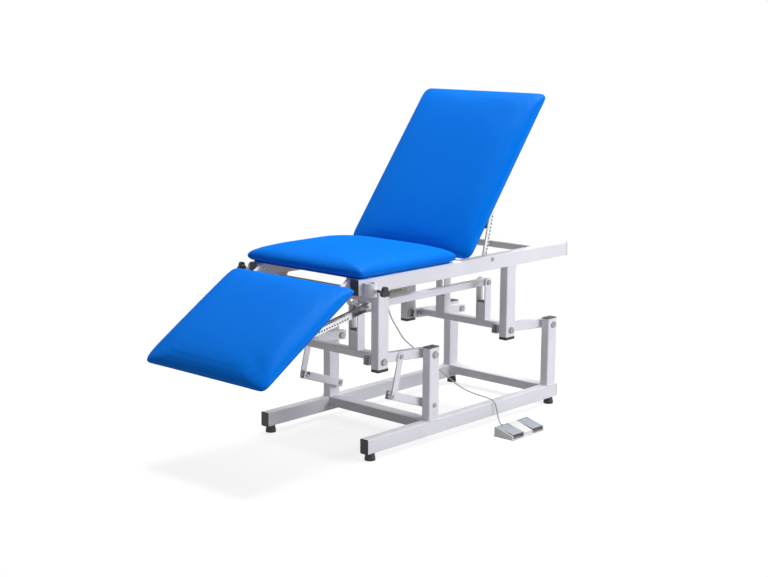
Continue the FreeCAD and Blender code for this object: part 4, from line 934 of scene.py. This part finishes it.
def tread_mesh(name, left, width):
    """Crowned tread with ribs over its front part and a skirt round it, level with its hinge at the origin."""
    shape = bmesh.new()
    rows, columns = TREAD_GRID
    grid = []
    for r in range(rows + 1):
        v = r / rows
        y = -TREAD_BACK - v * TREAD_LENGTH
        line = []
        for c in range(columns + 1):
            u = c / columns
            x = left + TREAD_EDGE + u * (width - 2 * TREAD_EDGE)
            edge = min(1, min(u, 1 - u) * TREAD_ROUNDING[0], min(v, 1 - v) * TREAD_ROUNDING[1])
            ribbed = RIB_ROWS[0] < v < RIB_ROWS[1] and RIB_COLUMNS[0] < u < RIB_COLUMNS[1]
            rib = RIB_HEIGHT * (0.5 + 0.5 * math.cos(v * 2 * math.pi * RIB_COUNT)) if ribbed else 0
            crown = TREAD_CROWN * math.sin(edge * math.pi / 2)
            line.append(shape.verts.new((x, y, TREAD_LIFT + TREAD_BASE + crown + rib)))
        grid.append(line)
    for a, b in zip(grid, grid[1:]):
        for k in range(columns):
            shape.faces.new((a[k], b[k], b[k + 1], a[k + 1]))
    rim = [edge for edge in shape.edges if edge.is_boundary]
    for item in bmesh.ops.extrude_edge_only(shape, edges=rim)["geom"]:
        if isinstance(item, bmesh.types.BMVert):
            item.co.z = TREAD_LIFT - TREAD_SKIRT
    return shaped_mesh(name, shape)


def arrow_mesh(name, middle, points_up):
    """Raised three-cornered arrow near the back edge of a tread."""
    shape = bmesh.new()
    reach = ARROW_HALF if points_up else -ARROW_HALF
    corners = [(-ARROW_WIDTH, -reach), (ARROW_WIDTH, -reach), (0, reach)]
    top = TREAD_LIFT + ARROW_HEIGHT
    lower, upper = ([shape.verts.new((middle + x * share, y * share - ARROW_MIDDLE, z)) for x, y in corners]
                    for share, z in ((1, TREAD_LIFT), (ARROW_TAPER, top)))
    shape.faces.new(upper)
    shape.faces.new(lower[::-1])
    for k in range(3):
        shape.faces.new((lower[k], lower[(k + 1) % 3], upper[(k + 1) % 3], upper[k]))
    return shaped_mesh(name, shape)


def pedal_treads():
    """Grey ribbed treads on the dark pedals, each with a small raised arrow at its back edge."""
    for way in ("down", "up"):
        body = "pedal_" + way
        low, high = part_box("foot_pedal_" + way)
        hinge = Vector(joints[body + "_press"]["pos_m"])
        slope = Matrix.Rotation(math.radians(PEDAL_SLOPE_DEG), 4, "X")
        place = Matrix.Translation((0, hinge.y, hinge.z)) @ slope
        tread = tread_mesh(way + "_tread", low.x, high.x - low.x)
        tread.transform(place)
        mesh_piece(way + "_tread", smooth(tread, CRISP_DEG), TREAD, body)
        arrow = arrow_mesh(way + "_tread_arrow", (low.x + high.x) / 2, way == "up")
        arrow.transform(place)
        mesh_piece(way + "_tread_arrow", arrow, PALE, body)


def seen_rays(tree):
    """One where a ray comes from the camera, a reflection or glass."""
    rays = add_node(tree, "ShaderNodeLightPath")
    first = add_node(tree, "ShaderNodeMath", operation="MAXIMUM")
    second = add_node(tree, "ShaderNodeMath", operation="MAXIMUM")
    tree.links.new(rays.outputs["Is Camera Ray"], first.inputs[0])
    tree.links.new(rays.outputs["Is Glossy Ray"], first.inputs[1])
    tree.links.new(first.outputs["Value"], second.inputs[0])
    tree.links.new(rays.outputs["Is Transmission Ray"], second.inputs[1])
    return second.outputs["Value"]


def seen_choice(tree, lit, seen, output):
    """One shader for the light that is cast, another for what is seen."""
    choose = add_node(tree, "ShaderNodeMixShader")
    tree.links.new(seen_rays(tree), choose.inputs["Fac"])
    tree.links.new(lit, choose.inputs[1])
    tree.links.new(seen, choose.inputs[2])
    tree.links.new(choose.outputs["Shader"], tree.nodes[output].inputs["Surface"])


def pale_floor():
    """Floor that keeps the shadow near the table and fades to white away from it."""
    mesh = bpy.data.meshes.new("floor")
    corners = [(x * FLOOR_HALF, y * FLOOR_HALF, 0) for x, y in ((-1, -1), (1, -1), (1, 1), (-1, 1))]
    mesh.from_pydata(corners, [], [(0, 1, 2, 3)])
    floor = bpy.data.objects.new("floor", mesh)
    scene.collection.objects.link(floor)
    material, tree, shader = material_start("pale_floor")
    tree.nodes.remove(shader)
    matt = add_node(tree, "ShaderNodeBsdfDiffuse")
    matt.inputs["Color"].default_value = FLOOR_TONE
    glow = add_node(tree, "ShaderNodeEmission")
    glow.inputs["Strength"].default_value = FLOOR_GLOW
    dim = add_node(tree, "ShaderNodeBsdfDiffuse")
    dim.inputs["Color"].default_value = FLOOR_SEEN_TONE
    lifted = add_node(tree, "ShaderNodeAddShader")
    far_white = add_node(tree, "ShaderNodeEmission")
    place = add_node(tree, "ShaderNodeTexCoord")
    reach = add_node(tree, "ShaderNodeVectorMath", operation="LENGTH")
    far = add_node(tree, "ShaderNodeMapRange", interpolation_type="SMOOTHSTEP")
    far.inputs["From Min"].default_value, far.inputs["From Max"].default_value = FLOOR_FADE
    fade = add_node(tree, "ShaderNodeMixShader")
    tree.links.new(dim.outputs["BSDF"], lifted.inputs[0])
    tree.links.new(glow.outputs["Emission"], lifted.inputs[1])
    tree.links.new(place.outputs["Object"], reach.inputs[0])
    tree.links.new(reach.outputs["Value"], far.inputs["Value"])
    tree.links.new(far.outputs["Result"], fade.inputs["Fac"])
    tree.links.new(lifted.outputs["Shader"], fade.inputs[1])
    tree.links.new(far_white.outputs["Emission"], fade.inputs[2])
    seen_choice(tree, matt.outputs["BSDF"], fade.outputs["Shader"], "Material Output")
    mesh.materials.append(material)


def white_surround():
    """Plain white where it is seen; a soft sky, brighter overhead, for the light it casts."""
    world = bpy.data.worlds.new("surround")
    world.use_nodes = True
    scene.world = world
    tree = world.node_tree
    sky = tree.nodes["Background"]
    sky.inputs["Color"].default_value = SKY_TONE
    white = add_node(tree, "ShaderNodeBackground")
    white.inputs["Color"].default_value = (1, 1, 1, 1)
    place = add_node(tree, "ShaderNodeTexCoord")
    parts = add_node(tree, "ShaderNodeSeparateXYZ")
    height = add_node(tree, "ShaderNodeMapRange")
    height.inputs["From Min"].default_value, height.inputs["From Max"].default_value = SKY_RISE
    height.inputs["To Min"].default_value, height.inputs["To Max"].default_value = SKY_STRENGTH
    tree.links.new(place.outputs["Generated"], parts.inputs["Vector"])
    tree.links.new(parts.outputs["Z"], height.inputs["Value"])
    tree.links.new(height.outputs["Result"], sky.inputs["Strength"])
    seen_choice(tree, sky.outputs["Background"], white.outputs["Background"], "World Output")


def softbox(name, place, aim, size, power, colour):
    """Rectangular lamp turned towards its aim and hidden from the camera."""
    data = bpy.data.lights.new(name, "AREA")
    data.shape = "RECTANGLE"
    data.size, data.size_y = size
    data.energy = power
    data.color = colour
    lamp = bpy.data.objects.new(name, data)
    scene.collection.objects.link(lamp)
    lamp.location = place
    lamp.visible_camera = False
    lamp.rotation_euler = (Vector(aim) - Vector(place)).to_track_quat("-Z", "Y").to_euler()


photo_camera()
dress_nodes()
switch_cable()
places = section_places()
for name, body, size, corners, form, voxel in SECTIONS:
    cushion(name + "_pad", body, size, corners, form, voxel, places[name], name + "_cushion")
staples(places)
ratchet_slots()
welds()
washers()
pedal_treads()
pale_floor()
white_surround()
for lamp in SOFTBOXES:
    softbox(*lamp)

scene.view_settings.view_transform = "Standard"
